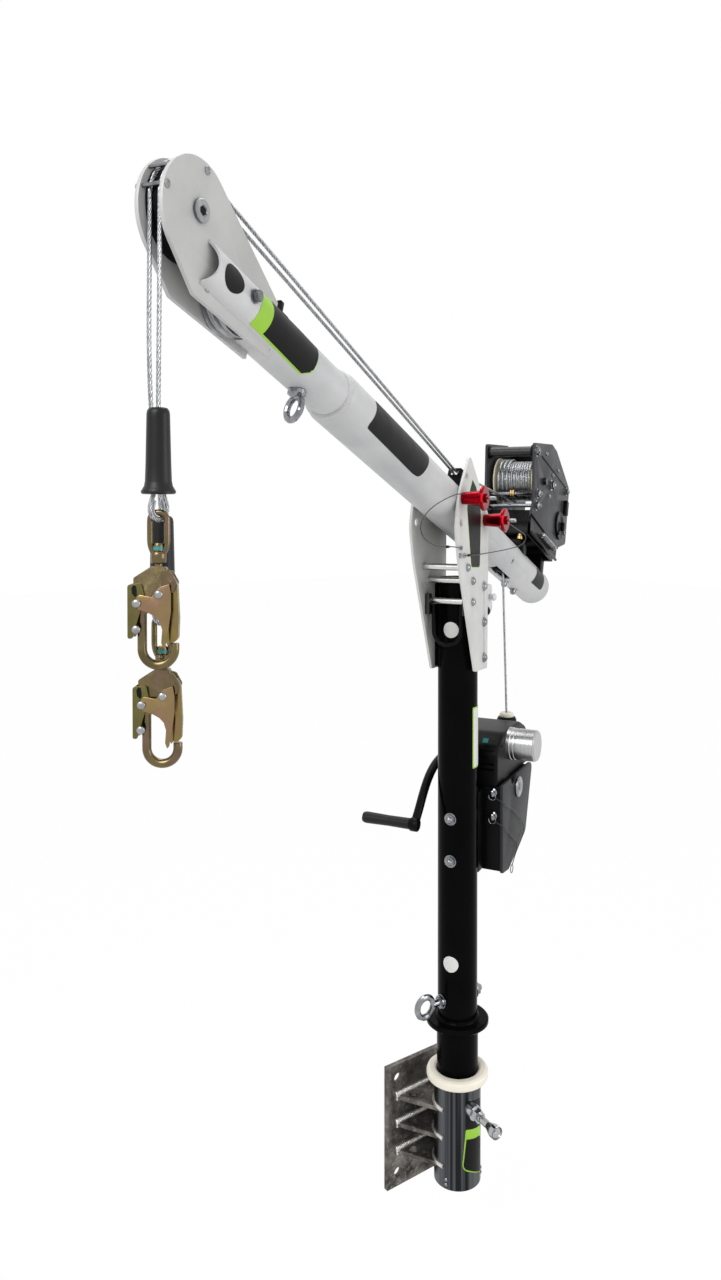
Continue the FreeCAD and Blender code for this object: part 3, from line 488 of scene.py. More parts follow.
def moulded(name, low, high, rough, grain, scale=1100.0, sheen=0.5):
    finish = Finish(name, Specular_IOR_Level=sheen)
    cloud = finish.spread(finish.noise(14, 5), 0.3, 0.7)
    pebble = finish.noise(scale, 3, 0.6)
    colour = finish.blend(cloud, tone(*low), tone(*high))
    return finish.coat(colour, pebble * 0.14 + rough, pebble, grain, 0.0005)


housing_black = moulded("housing_black", (6, 6, 7), (13, 13, 14), 0.28, 0.2, sheen=0.08)
cover_grey = moulded("cover_grey", (36, 36, 38), (52, 53, 55), 0.36, 0.25, sheen=0.14)
rubber = moulded("rubber", (14, 14, 14), (24, 24, 24), 0.3, 0.12, 700, 0.25)
wire_cover = moulded("wire_cover", (22, 22, 23), (38, 38, 39), 0.35, 0.1, 900)
nylon_cream = moulded("nylon_cream", (222, 215, 198), (234, 229, 214), 0.36, 0.12, 500)
band_teal = moulded("band_teal", (28, 116, 116), (40, 140, 136), 0.3, 0.1, 500)
print("plastics ready")

# %% [markdown]
# A few parts are groups of pieces in one node, such as bright rods under a black tube. Their
# material picks its colour by place, with a mask that is a comparison of Object coordinates. Each
# border is a point and a direction, and the second tone lies beyond every border.

# %% Two-tone groups
BLACK = ((16, 16, 17), (26, 26, 27))
SILVER = ((196, 197, 198), (208, 208, 209))
RED = ((122, 6, 18), (160, 12, 28))
GEAR = ((34, 34, 36), (66, 66, 68))
DRUM_CREAM = ((196, 190, 166), (216, 211, 190))
PLUNGER_WAY = Vector(joints["plunger_pull"]["axis"])
KNOB_AT = on_wall(0, 0, 147) + PLUNGER_WAY * 121.4 * MM


def two_tone(name, base, other, rough, metallic, *borders):
    finish = Finish(name)
    share, *others = [finish.along(way, start) > 0.0 for way, start in borders]
    for mask in others:
        share = share * mask
    grain = finish.noise(60, 5)
    first, second = [finish.blend(grain, tone(*low), tone(*high)) for low, high in (base, other)]
    roughness = share * (rough[1] - rough[0]) + grain * 0.1 + rough[0]
    metal = share * (metallic[1] - metallic[0]) + metallic[0]
    colour = finish.blend(share, first, second)
    return finish.coat(colour, roughness, finish.noise(1200, 3), 0.08, 0.0004, Metallic=metal)


bars_finish = two_tone(
    "winch_bars", BRIGHT, BLACK, (0.1, 0.32), (1.0, 0.0),
    (ABOVE, on_boom(0, 0, 205)), (SIDE, on_boom(0, -51.5, 0)))
lugs_finish = two_tone(
    "head_lugs", SILVER, BLACK, (0.34, 0.36), (0.3, 0.0), (-BACK, on_mast(-20, 0, 0)))
pin_finish = two_tone(
    "pin_red", RED, BRIGHT, (0.16, 0.12), (1.0, 1.0), (SIDE, on_mast(0, -44.2, 0)))
plunger_finish = two_tone(
    "plunger", PLATED, BLACK, (0.1, 0.36), (1.0, 0.0), (PLUNGER_WAY, KNOB_AT))
drum_finish = two_tone(
    "winch_drum", DRUM_CREAM, GEAR, (0.34, 0.3), (0.0, 0.9), (-SIDE, on_boom(0, -41.3, 0)))
print("two-tone finishes ready")

# %% [markdown]
# Every solid part now gets its finish. The parts keep their shape; only the material in their slot
# changes.

# %% Dress the solid parts
dressing = {
    plate_steel: "wall_plate gusset_plates",
    sleeve_steel: "sleeve_tube",
    nylon_cream: "sleeve_liner",
    plated: "plunger_housing mast_bolts",
    chrome: "sleeve_stop mast_eye_bolt boom_head_axle boom_fasteners boom_eye "
            "angle_pin_button pivot_pin_button srl_fittings",
    mast_black: "mast_tube mast_spigot",
    lit_silver_paint: "mast_head_plates",
    silver_paint: "boom_head_plates",
    spacer_steel: "head_spacer_rods",
    boom_paint: "boom_outer_tube boom_inner_tube",
    frame_black: "carry_handle srl_bracket crank_arm rope_fairlead winch_bracket",
    housing_black: "srl_body srl_dome head_sheave_near head_sheave_far tail_sheave",
    cover_grey: "srl_cover",
    cap_metal: "srl_cap",
    rubber: "crank_grip hoist_rope_end lifeline_rope_end",
    winch_paint: "winch_side_plates",
    drum_finish: "winch_drum",
    cast_dark: "winch_pinion",
    rope_wire: "winch_winding hoist_rope lifeline_rope lifeline_rise hoist_rope_drop "
               "lifeline_rope_drop",
    pin_finish: "angle_pin pivot_pin",
    wire_cover: "angle_pin_lanyard pivot_pin_lanyard",
    hook_zinc: "hoist_link hook_a_body hook_a_gate hook_a_lock "
               "lifeline_link hook_b_body hook_b_gate hook_b_lock",
    bars_finish: "winch_cross_bars",
    lugs_finish: "mast_head_brackets",
    plunger_finish: "plunger_pin",
}
dressed = 0
for finish, names in dressing.items():
    for node in names.split():
        dressed += 1
        for slot in nodes[node].material_slots:
            slot.material = finish.material
print("dressed", dressed, "of", len(nodes), "parts")

# %% [markdown]
# Wire rope is six strands laid round a core. Each rope's route is a short list of corners, and a
# smooth NURBS line takes the route round the sheaves. The strands are then wound about points that
# are read back from that line, which keeps their lay even along the whole rope. A lanyard is a
# single thin tube on the same kind of line.

# %% Rope makers
ROPE = 4.8
STRANDS = 6
STRAND_R = ROPE * MM / 6
SWELL = 1.12
PITCH = 34.0
STEP = 3.2
ROUTE_STEPS = 16
WIRE_STEP = 4
WIRE_SIDES = 8


def nurbs(name, points, closed=False, steps=12):
    curve = bpy.data.curves.new(name, "CURVE")
    curve.dimensions = "3D"
    curve.resolution_u = steps
    spline = curve.splines.new("NURBS")
    spline.points.add(len(points) - 1)
    for knot, point in zip(spline.points, points):
        knot.co = (*point, 1)
    spline.order_u = 3
    spline.use_cyclic_u = closed
    spline.use_endpoint_u = not closed
    return curve


def smooth_line(points):
    holder = bpy.data.objects.new("route", nurbs("route", points, steps=ROUTE_STEPS))
    mesh = bpy.data.meshes.new_from_object(holder)
    line = [vertex.co.copy() for vertex in mesh.vertices]
    bpy.data.objects.remove(holder)
    bpy.data.meshes.remove(mesh)
    return line


def evenly(line, step):
    lengths = [0.0]
    for first, second in zip(line, line[1:]):
        lengths.append(lengths[-1] + (second - first).length)
    count = max(2, round(lengths[-1] / step))
    spots, index = [], 0
    for i in range(count + 1):
        target = lengths[-1] * i / count
        while index < len(line) - 2 and lengths[index + 1] < target:
            index += 1
        share = (target - lengths[index]) / max(lengths[index + 1] - lengths[index], 1e-9)
        spots.append(line[index].lerp(line[index + 1], share))
    return spots, lengths[-1]


def carried_frames(spots):
    ways = [(b - a).normalized() for a, b in zip(spots, spots[1:])]
    ways.append(ways[-1])
    across = ways[0].orthogonal().normalized()
    frames = []
    for way in ways:
        across = (across - way * across.dot(way)).normalized()
        frames.append((across, way.cross(across)))
    return frames


def ring(middle, one, two, radius, sides, start=0.0):
    angles = [start + angle for angle in turn_angles(sides)]
    return [middle + (one * math.cos(a) + two * math.sin(a)) * radius for a in angles]


def skin(name, tubes, sides, finish, slot):
    verts, faces = [], []
    for rings in tubes:
        start = len(verts)
        for points in rings:
            verts += points
        for low in range(start, len(verts) - sides, sides):
            for j in range(sides):
                k = (j + 1) % sides
                faces.append((low + j, low + k, low + sides + k, low + sides + j))
        faces.append(list(range(start, start + sides))[::-1])
        faces.append(list(range(len(verts) - sides, len(verts))))
    mesh = bpy.data.meshes.new(name)
    mesh.from_pydata(verts, [], faces)
    mesh.shade_smooth()
    mesh.materials.append(finish.material)
    made = add(name, mesh)
    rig.slot(made, slot)
    return made


def laid_rope(name, route, body=None, sides=6, step=STEP, pitch=PITCH):
    spots, length = evenly(smooth_line(route), step * MM)
    twist = 2 * math.pi * length / (len(spots) - 1) / (pitch * MM)
    tubes = [[] for k in range(STRANDS)]
    for i, (spot, (one, two)) in enumerate(zip(spots, carried_frames(spots))):
        for strand, start in zip(tubes, turn_angles(STRANDS)):
            a = start + twist * i
            middle = spot + (one * math.cos(a) + two * math.sin(a)) * STRAND_R * 2
            strand.append(ring(middle, one, two, STRAND_R * SWELL, sides, a))
    rope = skin(name, tubes, sides, rope_wire, "wire_rope")
    if body:
        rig.ride(rope, body)
    print(name, "is", round(length, 3), "m long")
    return rope, spots, length


def thin_wire(name, route, diameter):
    spots, length = evenly(smooth_line([on_mast(*point) for point in route]), WIRE_STEP * MM)
    tube = [ring(spot, one, two, diameter / 2 * MM, WIRE_SIDES)
            for spot, (one, two) in zip(spots, carried_frames(spots))]
    wire = skin(name, [tube], WIRE_SIDES, wire_cover, "black_wire")
    print(name, "is", round(length, 3), "m long")
    return wire, spots, length


def declare(made, diameter, lay, far_end="object", with_pieces=()):
    cord, spots, length = made
    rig.cord(cord, exit=spots[0], length=length, diameter=diameter * MM, far_end=far_end,
            stiffness="stiff", lay=lay, path=spots, with_pieces=list(with_pieces))


def fixed_rope(name, node, route, body, lay, **detail):
    made = laid_rope(name, route, body, **detail)
    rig.replaces(made[0], node)
    declare(made, ROPE, lay)


print("rope makers ready")

# %% [markdown]
# A rope bends round a wheel on a circle, so its corners stand just outside that circle, evenly
# spaced, and the smooth line touches the wheel between them. The near rope runs from the winch
# through the fairlead and over the head; the far rope is the lifeline, which comes up from the unit
# on the mast, over the wheel in the boom's tail and through the other fairlead hole.

# %% Ropes on the boom
HEAD = (902, 46)
HEAD_R = 52.5
TAIL = (-219, -16)
TAIL_R = 25.0
TAIL_Y = -6.0
ROPE_Y = 6.2
FAIR = (57, 73)
NEAR_FAIR_Y = -1.0
DRUM = (-330, 197)
DRUM_R = 47.75
DRUM_Y = 11.0
RUN_UP = 29.0
BENDS = 3


def around(centre, radius, start, stop, count):
    step = (stop - start) / count
    reach = radius / math.cos(step / 2)
    angles = [start + step * (i + 0.5) for i in range(count)]
    return [(centre[0] + reach * math.cos(a), centre[1] + reach * math.sin(a)) for a in angles]


def touching(spot, centre, radius, side):
    away = (centre[0] - spot[0], centre[1] - spot[1])
    lean = math.asin(radius / math.hypot(*away))
    return math.atan2(away[1], away[0]) + side * (lean + math.pi / 2)


def rim(centre, radius, angle, beyond=0.0):
    t = centre[0] + radius * math.cos(angle) + beyond * math.sin(angle)
    n = centre[1] + radius * math.sin(angle) - beyond * math.cos(angle)
    return (t, n)


def toward(first, second):
    return first + (second - first).normalized() * RUN_UP * MM


head_in = touching(FAIR, HEAD, HEAD_R, 1)
head_out = -TILT
head_end = rim(HEAD, HEAD_R, head_out)
head_bend = [rim(HEAD, HEAD_R, head_in, -RUN_UP)] + around(HEAD, HEAD_R, head_in, head_out, BENDS)
over_head = at_side(head_bend + [head_end], -ROPE_Y)
drum_in = touching(FAIR, DRUM, DRUM_R, 1)
drum_spot = at_side([rim(DRUM, DRUM_R, drum_in)], DRUM_Y)[0]
near_fair = at_side([FAIR], NEAR_FAIR_Y)[0]
hoist_route = [drum_spot, toward(near_fair, drum_spot), near_fair, toward(near_fair, over_head[0])]
fixed_rope("hoist_wire", "hoist_rope", hoist_route + over_head, "boom", "taut")

tail_in = touching(FAIR, TAIL, TAIL_R, -1) + 2 * math.pi
tail_out = math.pi - TILT
tail_end = rim(TAIL, TAIL_R, tail_out)
far_fair = at_side([FAIR], ROPE_Y)[0]
over_tail = at_side(around(TAIL, TAIL_R, tail_in, tail_out, BENDS) + [tail_end], TAIL_Y)
life_route = at_side([head_end] + head_bend[::-1], ROPE_Y)
life_route += [toward(far_fair, life_route[-1]), far_fair, toward(far_fair, over_tail[0])] + over_tail
fixed_rope("lifeline_wire", "lifeline_rope", life_route, "boom", "taut")

# %% [markdown]
# Below the head each rope hangs free. Its upper end stays plumb under the sheave while its lower end
# travels with the hook, so the drop is one mesh that is blended between those two bodies. The
# lifeline's rise is blended between mast and boom in the same way.

# %% Hanging ropes and the rise
BUMPER_TOP = 155.0
WRAP_BACK = 0.42
PLUMB = 12
INSIDE = 40
GUIDE_XY = (238, -18.5)
drops = {}
wrap_start = head_out + WRAP_BACK
drop_start = [rim(HEAD, HEAD_R, wrap_start)]
drop_start += around(HEAD, HEAD_R, wrap_start, head_out, 1) + [head_end]


def hang(tag, y, spot, upper, lower, swing):
    top = at_side(drop_start, y)
    end = spot + UP * BUMPER_TOP * MM
    route = top + [swing, end + UP * PLUMB * MM, end - UP * INSIDE * MM]
    drops[tag] = laid_rope(tag + "_drop_wire", route)
    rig.blend(drops[tag][0], upper, lower, start=top[-1], end=end)
    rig.replaces(drops[tag][0], tag + "_rope_drop")


hang("hoist", -ROPE_Y, HOOK_A, "hoist_line", "hoist_end", on_mast(-874, -8, 1440))
hang("lifeline", ROPE_Y, HOOK_B, "life_line", "life_end", on_mast(-865.5, 13, 1345))

rise_top = at_side([tail_end], TAIL_Y)[0]
rise_foot = on_mast(*GUIDE_XY, 801)
rise = laid_rope("lifeline_rise_wire", [rise_foot, rise_foot.lerp(rise_top, 0.5), rise_top])
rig.blend(rise[0], "mast", "boom", start=rise_foot, end=rise_top)
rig.replaces(rise[0], "lifeline_rise")
declare(rise, ROPE, "taut")

# %% [markdown]
# On the drum the rope lies in turns side by side, with a few looser turns on top that lead to the
# fairlead. The turns are points of one spline, sixteen for each turn, and a slight waver in their
# spacing keeps the layer from looking machined.

# %% Wound rope
FULL_R = 42.4
FULL_PITCH = 5.35
TOP_PITCH = 9.3
TOP_TURNS = 3.0
FULL_TURNS = 12.75
CLIMB = 0.5
PER_TURN = 16
BULGE = 1 / math.cos(math.pi / PER_TURN / 2)
WAVER = ((0.25, 5.1), (0.2, 2.3))


def wound(turn):
    climb = min(max((turn - TOP_TURNS) / CLIMB, 0), 1)
    r = (DRUM_R + (FULL_R - DRUM_R) * climb) * BULGE
    side = DRUM_Y + TOP_PITCH * min(turn, TOP_TURNS) - FULL_PITCH * max(turn - TOP_TURNS, 0)
    side += sum(size * math.sin(turn * rate) for size, rate in WAVER)
    a = drum_in - 2 * math.pi * turn
    return on_boom(DRUM[0] + r * math.cos(a), side, DRUM[1] + r * math.sin(a))


turns = TOP_TURNS + CLIMB + FULL_TURNS
coil = [wound(i / PER_TURN) for i in range(int(turns * PER_TURN) + 1)]
fixed_rope("winding_wire", "winch_winding", coil, "drum", "coiled", sides=5, step=4.2, pitch=90)

# %% [markdown]
# Each red pin is tied to the mast-head plate by a thin wire lanyard, so that it can't be lost. The
# wires are stiff enough to stand out in an open loop.

# %% Pin lanyards
LANYARD = 1.8
angle_route = [
    (-106.5, -49.5, 1258), (-130, -50.5, 1259.5), (-165, -51, 1255), (-205, -51.5, 1248), (-250, -52, 1238),
    (-285, -52, 1225), (-305, -52, 1209), (-298, -52, 1194), (-275, -52, 1183), (-240, -51.5, 1175),
    (-200, -51, 1172), (-165, -50, 1171), (-135, -49.5, 1168.5), (-112, -49, 1166.5)]
pivot_route = [
    (-104, -49, 1153), (-84, -49.5, 1152.5), (-50, -50, 1151.5), (-5, -50.5, 1151.8), (45, -54, 1153),
    (85, -60, 1154.8), (122, -67, 1157.5), (150, -74, 1161.5), (165, -78, 1168), (164, -80.5, 1177),
    (149, -82, 1184), (120, -83.5, 1189), (88, -84.5, 1195.5), (62, -84.5, 1201.5), (45.5, -84, 1205.5)]
ties = {"angle": (angle_route[-1], angle_route[0]), "pivot": (pivot_route[0], pivot_route[-1])}


def tie(piece, tag):
    plate_end, pin_end = ties[tag]
    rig.blend(piece, "mast", tag + "_pin", start=on_mast(*plate_end), end=on_mast(*pin_end))


for tag, route in (("angle", angle_route), ("pivot", pivot_route)):
    made = thin_wire(tag + "_lanyard_wire", route, LANYARD)
    tie(made[0], tag)
    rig.replaces(made[0], tag + "_pin_lanyard")
    declare(made, LANYARD, "loose")

# %% [markdown]
# The small fittings are modelled as by hand: a primitive is added at its place, then extruded and
# scaled in edit mode, and some edges are bevelled. A lathe extrudes one ring from another, a plate is
# drawn from corner to corner, a bar is a stretched and bevelled block, and a wire is bent along a
# line. The profile of a bored piece comes back to its first ring, which leaves the hole open.

# %% Makers for fittings
MERGE = 1e-6
EDGE_ANGLE = math.radians(32)


def pick(*pieces):
    bpy.ops.object.select_all(action="DESELECT")
    for piece in pieces[::-1]:
        piece.select_set(True)
        bpy.context.view_layer.objects.active = piece


def close_edit(merge=None):
    bpy.ops.mesh.select_all(action="SELECT")
    if merge:
        bpy.ops.mesh.remove_doubles(threshold=merge)
    bpy.ops.mesh.normals_make_consistent(inside=False)
    bpy.ops.object.mode_set(mode="OBJECT")
    bpy.ops.object.transform_apply(location=True, rotation=True, scale=True)
    return bpy.context.object


def lathe(profile, at, way, sides, bored=False):
    pick()
    way = Vector(way).normalized()
    (r, h), *rest = profile + profile[:1] if bored else profile
    bpy.ops.mesh.primitive_circle_add(
        vertices=sides, radius=r * MM, fill_type="NOTHING" if bored else "NGON",
        location=at + way * h * MM, rotation=way.to_track_quat("Z", "Y").to_euler())
    bpy.ops.object.mode_set(mode="EDIT")
    for next_r, next_h in rest:
        bpy.ops.mesh.extrude_region_move(TRANSFORM_OT_translate={"value": way * (next_h - h) * MM})
        bpy.ops.transform.resize(value=[next_r / r] * 3, center_override=at + way * next_h * MM)
        r, h = next_r, next_h
    return close_edit(MERGE)


def plate(corners, thick=None):
    pick()
    bpy.ops.mesh.primitive_plane_add(size=MM, location=corners[0])
    bpy.ops.object.mode_set(mode="EDIT")
    bpy.ops.mesh.merge(type="CENTER")
    for first, second in zip(corners, corners[1:]):
        bpy.ops.mesh.extrude_vertices_move(TRANSFORM_OT_translate={"value": second - first})
    bpy.ops.mesh.select_all(action="SELECT")
    bpy.ops.mesh.edge_face_add()
    if thick:
        bpy.ops.mesh.extrude_region_move(TRANSFORM_OT_translate={"value": thick * MM})
    return close_edit()


def modify(piece, kind, **settings):
    pick(piece)
    change = piece.modifiers.new("change", kind)
    for key, value in settings.items():
        setattr(change, key, value)
    bpy.ops.object.modifier_apply(modifier=change.name)
    return piece


def round_edges(piece, width):
    return modify(piece, "BEVEL", width=width * MM, segments=2, limit_method="ANGLE", angle_limit=EDGE_ANGLE)


def bar(start, end, width, height, up, bevel):
    pick()
    run = (end - start).normalized()
    up = (up - run * up.dot(run)).normalized()
    turn = Matrix((run, up.cross(run), up)).transposed()
    bpy.ops.mesh.primitive_cube_add(size=1, location=(start + end) / 2, rotation=turn.to_euler())
    block = bpy.context.object
    block.scale = ((end - start).length, width * MM, height * MM)
    bpy.ops.object.transform_apply(location=True, rotation=True, scale=True)
    return round_edges(block, bevel)


def bent_wire(points, radius, closed=False):
    curve = nurbs("bent", points, closed)
    curve.bevel_depth = radius * MM
    curve.bevel_resolution = 3
    curve.use_fill_caps = True
    pick(add("bent", curve))
    bpy.ops.object.convert(target="MESH")
    return bpy.context.object


def settle(name, parts, body, look, smooth=35):
    pick(*parts)
    if len(parts) > 1:
        bpy.ops.object.join()
    piece = bpy.context.object
    piece.name = piece.data.name = name
    bpy.ops.object.shade_smooth_by_angle(angle=math.radians(smooth))
    piece.data.materials.clear()
    piece.data.materials.append(look[1].material)
    if body:
        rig.ride(piece, body)
    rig.slot(piece, look[0])
    return piece


CHROME = ("bright_steel", chrome)
DULL = ("dark_steel", dull_steel)
STEEL = ("dark_steel", plate_steel)
GOLD = ("zinc_gold", hook_zinc)
OLIVE = ("zinc_gold", lever_zinc)
ROSE = ("zinc_gold", cheek_zinc)
BRIGHT_GOLD = ("zinc_gold", gate_zinc)
BRASS = ("zinc_gold", brass)
RUBBER = ("black_rubber", rubber)
HOUSING = ("black_plastic", housing_black)
PANEL = ("black_plastic", panel_black)
GREEN = ("black_plastic", panel_green)
TEAL = ("black_plastic", band_teal)
PALE = ("grey_plastic", panel_pale)
FRAME = ("winch_black", frame_black)
BOOM = ("boom_silver", boom_paint)
print("makers ready")

# %% [markdown]
# Cut plate and castings never have knife edges. A merged copy of each hard-edged part gets a narrow
# bevel, which catches the light as the real edges do, and stands for the part.

# %% Softened edges


def soften(node, body, look, width):
    piece = add(node + "_soft", nodes[node].data.copy())
    pick(piece)
    bpy.ops.mesh.customdata_custom_splitnormals_clear()
    bpy.ops.object.mode_set(mode="EDIT")
    bpy.ops.mesh.select_all(action="SELECT")
    bpy.ops.mesh.remove_doubles(threshold=2 * MERGE)
    bpy.ops.mesh.dissolve_limited(angle_limit=math.radians(1))
    bpy.ops.object.mode_set(mode="OBJECT")
    settle(node + "_soft", [round_edges(piece, width)], body, look)
    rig.replaces(piece, node)
    return len(piece.data.polygons)


soft_parts = [
    ("wall_plate", "base", STEEL, 0.8),
    ("gusset_plates", "base", STEEL, 0.8),
    # the mast-head plates take the lighter copy of the silver paint, which is painted light
    ("mast_head_plates", "mast", ("head_silver", lit_silver_paint), 0.7),
    ("boom_head_plates", "boom", ("head_silver", silver_paint), 0.8),
    ("boom_outer_tube", "boom", BOOM, 0.5),
    ("boom_inner_tube", "boom", BOOM, 0.5),
    ("winch_side_plates", "boom", ("winch_black", winch_paint), 0.9),
    ("winch_bracket", "boom", FRAME, 1.2),
    ("rope_fairlead", "boom", FRAME, 0.8),
    ("srl_body", "mast", HOUSING, 1.2),
    ("srl_cover", "mast", ("grey_plastic", cover_grey), 1.0),
    ("srl_dome", "mast", HOUSING, 1.0),
    ("srl_bracket", "mast", FRAME, 1.0),
    ("carry_handle", "handle", FRAME, 0.3),
    ("mast_head_brackets", "mast", ("head_silver", lugs_finish), 0.5)]
for tag in "ab":
    soft_parts += [("hook_" + tag + "_body", "hook_" + tag, GOLD, 0.5),
                   ("hook_" + tag + "_gate", "gate_" + tag, BRIGHT_GOLD, 0.7),
                   ("hook_" + tag + "_lock", "lock_" + tag, OLIVE, 0.7)]
print("softened parts have", sum(soften(*part) for part in soft_parts), "faces")

# %% [markdown]
# Each rope ends in an eye round the swivel link. A black rubber bumper over the splice stops the
# hook before it reaches the sheave. The bumper is turned on the lathe with a thick flared foot, and
# the eye is the same laid rope as the rest, on a short loop.

# %% Bumpers and rope eyes
LINK_TOP = 69.0
EYE_WAY = (0.75, 0.66)
SEAT_WAY = (0.5, 0.44)
SEAT_SCALE = 0.7
SEAT_LIFT = 16.5
SEAT_R = 1.9
ENDS = (("hoist", HOOK_A, "hoist_end"), ("lifeline", HOOK_B, "life_end"))
bumper_shape = [
    (9.6, 1.5), (15.4, 0), (17, 1), (17.2, 3), (16, 5), (14.2, 8), (13.2, 13), (12.6, 30), (11.6, 76),
    (11.5, 80), (10.9, 83), (9.2, 85.4), (7, 86), (3, 85), (2.8, 60), (2.8, 26), (9.4, 17)]
bumper_profile = [(r, LINK_TOP + h) for r, h in bumper_shape]


def mirrored(half):
    return half + [(-u, z) for u, z in half[-2::-1]]


eye_line = mirrored([(-2, 88), (-2.4, 78), (-6.5, 66), (-10, 55), (-7.5, 46), (0, 42.5)])
for tag, spot, body in ENDS:
    bumper = settle(tag + "_bumper", [lathe(bumper_profile, spot, UP, 40, True)], body, RUBBER, 50)
    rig.replaces(bumper, tag + "_rope_end")
    declare(drops[tag], ROPE, "hanging", "fitting", [bumper])
    eye_route = [on_hook(spot, u * EYE_WAY[0], u * EYE_WAY[1], z) for u, z in eye_line]
    declare(laid_rope(tag + "_eye_wire", eye_route, body, step=1.6, pitch=24), ROPE, "taut")
    seat = [on_hook(spot, u * SEAT_WAY[0], u * SEAT_WAY[1], z * SEAT_SCALE + SEAT_LIFT)
            for u, z in eye_line[2:9]]
    settle(tag + "_thimble", [bent_wire(seat, SEAT_R)], body, CHROME, 60)

# %% [markdown]
# The swivel link is a bent steel bar with its ends in a turned collar. A coloured band on the swivel
# shows when the hook has taken a fall.

# %% Swivel links
link_line = mirrored([(-3.6, 8), (-6.5, 13), (-8.5, 20), (-8.5, 30), (-8.5, 40), (-8.3, 46.5), (-4.5, 50.5),
                      (0, 51.2)])
collar_profile = [(3.7, 0.6), (6.6, 0.4), (7.6, 1.4), (7.6, 9), (6.8, 11.6), (5.2, 12.6), (3.7, 12.6)]
neck_profile = [(3.9, 12.4), (5.2, 12.6), (5.2, 19), (4.4, 20.4), (0.4, 20.6)]
band_profile = [(5.2, 13.4), (5.5, 13.5), (5.5, 16.9), (5.2, 17)]
for tag, spot, body in ENDS:
    link = bent_wire([on_hook(spot, u, 0, z) for u, z in link_line], 3.0)
    collar = lathe(collar_profile, spot, UP, 32, True)
    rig.replaces(settle(tag + "_swivel_link", [link, collar], body, GOLD, 50), tag + "_link")
    settle(tag + "_swivel_neck", [lathe(neck_profile, spot, UP, 28)], body, GOLD)
    settle(tag + "_swivel_band", [lathe(band_profile, spot, UP, 28)], body, TEAL)
print("links ready")

# %% [markdown]
# The snap hook's gate and lock are riveted between two cheek plates. The cheeks are drawn from
# corner to corner, and bevelled rivet heads are set through them. Dull steel rivets stand out from
# the gold zinc plating.

# %% Hook cheeks and rivets
cheek_outline = [
    (-20.6, -33.5), (-17, -30.4), (-5, -32.6), (3, -23), (12.6, -19.6), (14.2, -30), (14.2, -47), (11.6, -66),
    (8.6, -81.5), (6.4, -83.6), (4.4, -78), (5.4, -65), (3, -57), (-1.5, -52.2), (-9, -48), (-18.5, -45)]
slot_outline = [
    (-24.6, -29.5), (-25.2, -24), (-23.4, -20.8), (-20.6, -21.6), (-19.8, -26), (-19.6, -31), (-21.4, -33)]
rivet_profile = [(4.4, -0.2), (4.5, 0.5), (4.1, 1.4), (3, 2.1), (1.4, 2.45), (0.2, 2.5)]
cheek_rivets = ((-19.9, -38.9), (1.9, -30))
lock_rivet = (-20.8, -65)


def on_cheek(spot, points, w):
    return [on_hook(spot, u, w, z) for u, z in points]


def rivet_heads(places, way):
    return [lathe(rivet_profile, at, way, 20) for at in places]


for tag, spot in (("a", HOOK_A), ("b", HOOK_B)):
    cheeks, rivets, lock_rivets, slots = [], [], [], []
    for side in (-1, 1):
        way = HOOK_AWAY * side
        cheek = plate(on_cheek(spot, cheek_outline, side * 8.75), way * 1.3)
        cheeks.append(round_edges(cheek, 0.45))
        rivets += rivet_heads(on_cheek(spot, cheek_rivets, side * 10), way)
        lock_rivets += rivet_heads(on_cheek(spot, [lock_rivet], side * 8.5), way)
        # painted shade: a thin black sheet on the lock stands for the dark opening of its slot
        slots.append(plate(on_cheek(spot, slot_outline, side * 8.4), way * 0.25))
    settle("hook_" + tag + "_cheeks", cheeks, "hook_" + tag, ROSE)
    settle("hook_" + tag + "_rivets", rivets, "hook_" + tag, DULL)
    settle("hook_" + tag + "_lock_rivets", lock_rivets, "lock_" + tag, DULL)
    settle("hook_" + tag + "_lock_slots", slots, "lock_" + tag, PANEL)
print("hooks ready")

# %% [markdown]
# The mast-head bolts are button heads, and the three long ones have washers. One head is turned on
# the lathe for each place, with its short shank in the plate. Two capped nuts sit on the mast below.

# %% Mast-head bolts
PLATE_FACE = 44.02
head_profile = [(4.9, -4.4), (4.9, 0), (7.2, 0), (7.2, 1), (6.9, 2.2), (5.9, 3.8), (4.3, 5), (2.4, 5.7),
                (0.3, 5.9)]
washer_profile = [(4.9, -4.4), (4.9, 0), (9.4, 0), (9.4, 1.1), (8.8, 1.5), (7.4, 1.5), (7.2, 2.4), (6.4, 4.2),
                  (4.6, 5.6), (2.4, 6.4), (0.3, 6.6)]
screw_profile = [(4.6, -0.2), (4.6, 1.2), (3.8, 2.6), (2.2, 3.3), (0.3, 3.5)]
capped_nut = (
    ([(5, -88), (5, -0.6), (11.2, -0.4), (11.2, 1.4), (8.6, 1.5)], 32),
    ([(9, 1.4), (9.2, 1.8), (9.2, 6.6), (8, 7.4), (6.4, 7.4)], 6),
    ([(6.2, 7.3), (6, 9), (4.6, 10.8), (2.4, 11.8), (0.3, 12)], 24))
small_spots = ((-70, 1130.5), (-42.6, 1105), (-42.6, 1067.5))
long_spots = ((19, 1091), (19, 1025.5), (19, 960))
screw_spots = ((-104, 1166), (-110, 1153))
heads = []
for side in (-1, 1):
    for profile, spots in ((head_profile, small_spots), (washer_profile, long_spots)):
        heads += [lathe(profile, at, SIDE * side, 28) for at in on_face(spots, side * PLATE_FACE)]
heads += [lathe(screw_profile, at, -SIDE, 24) for at in on_face(screw_spots, -PLATE_FACE)]
for z in (672.5, 596):
    heads += [lathe(profile, on_mast(-36.9, 0, z), -BACK, sides) for profile, sides in capped_nut]
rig.replaces(settle("mast_bolt_heads", heads, "mast", CHROME), "mast_bolts")
print("bolt heads:", len(heads))

# %% [markdown]
# The winch is bought in complete, so its fastenings are plated while its plates are painted. A nut
# is a washer, a hexagon and a rounded end, each turned on the lathe with its own number of sides.

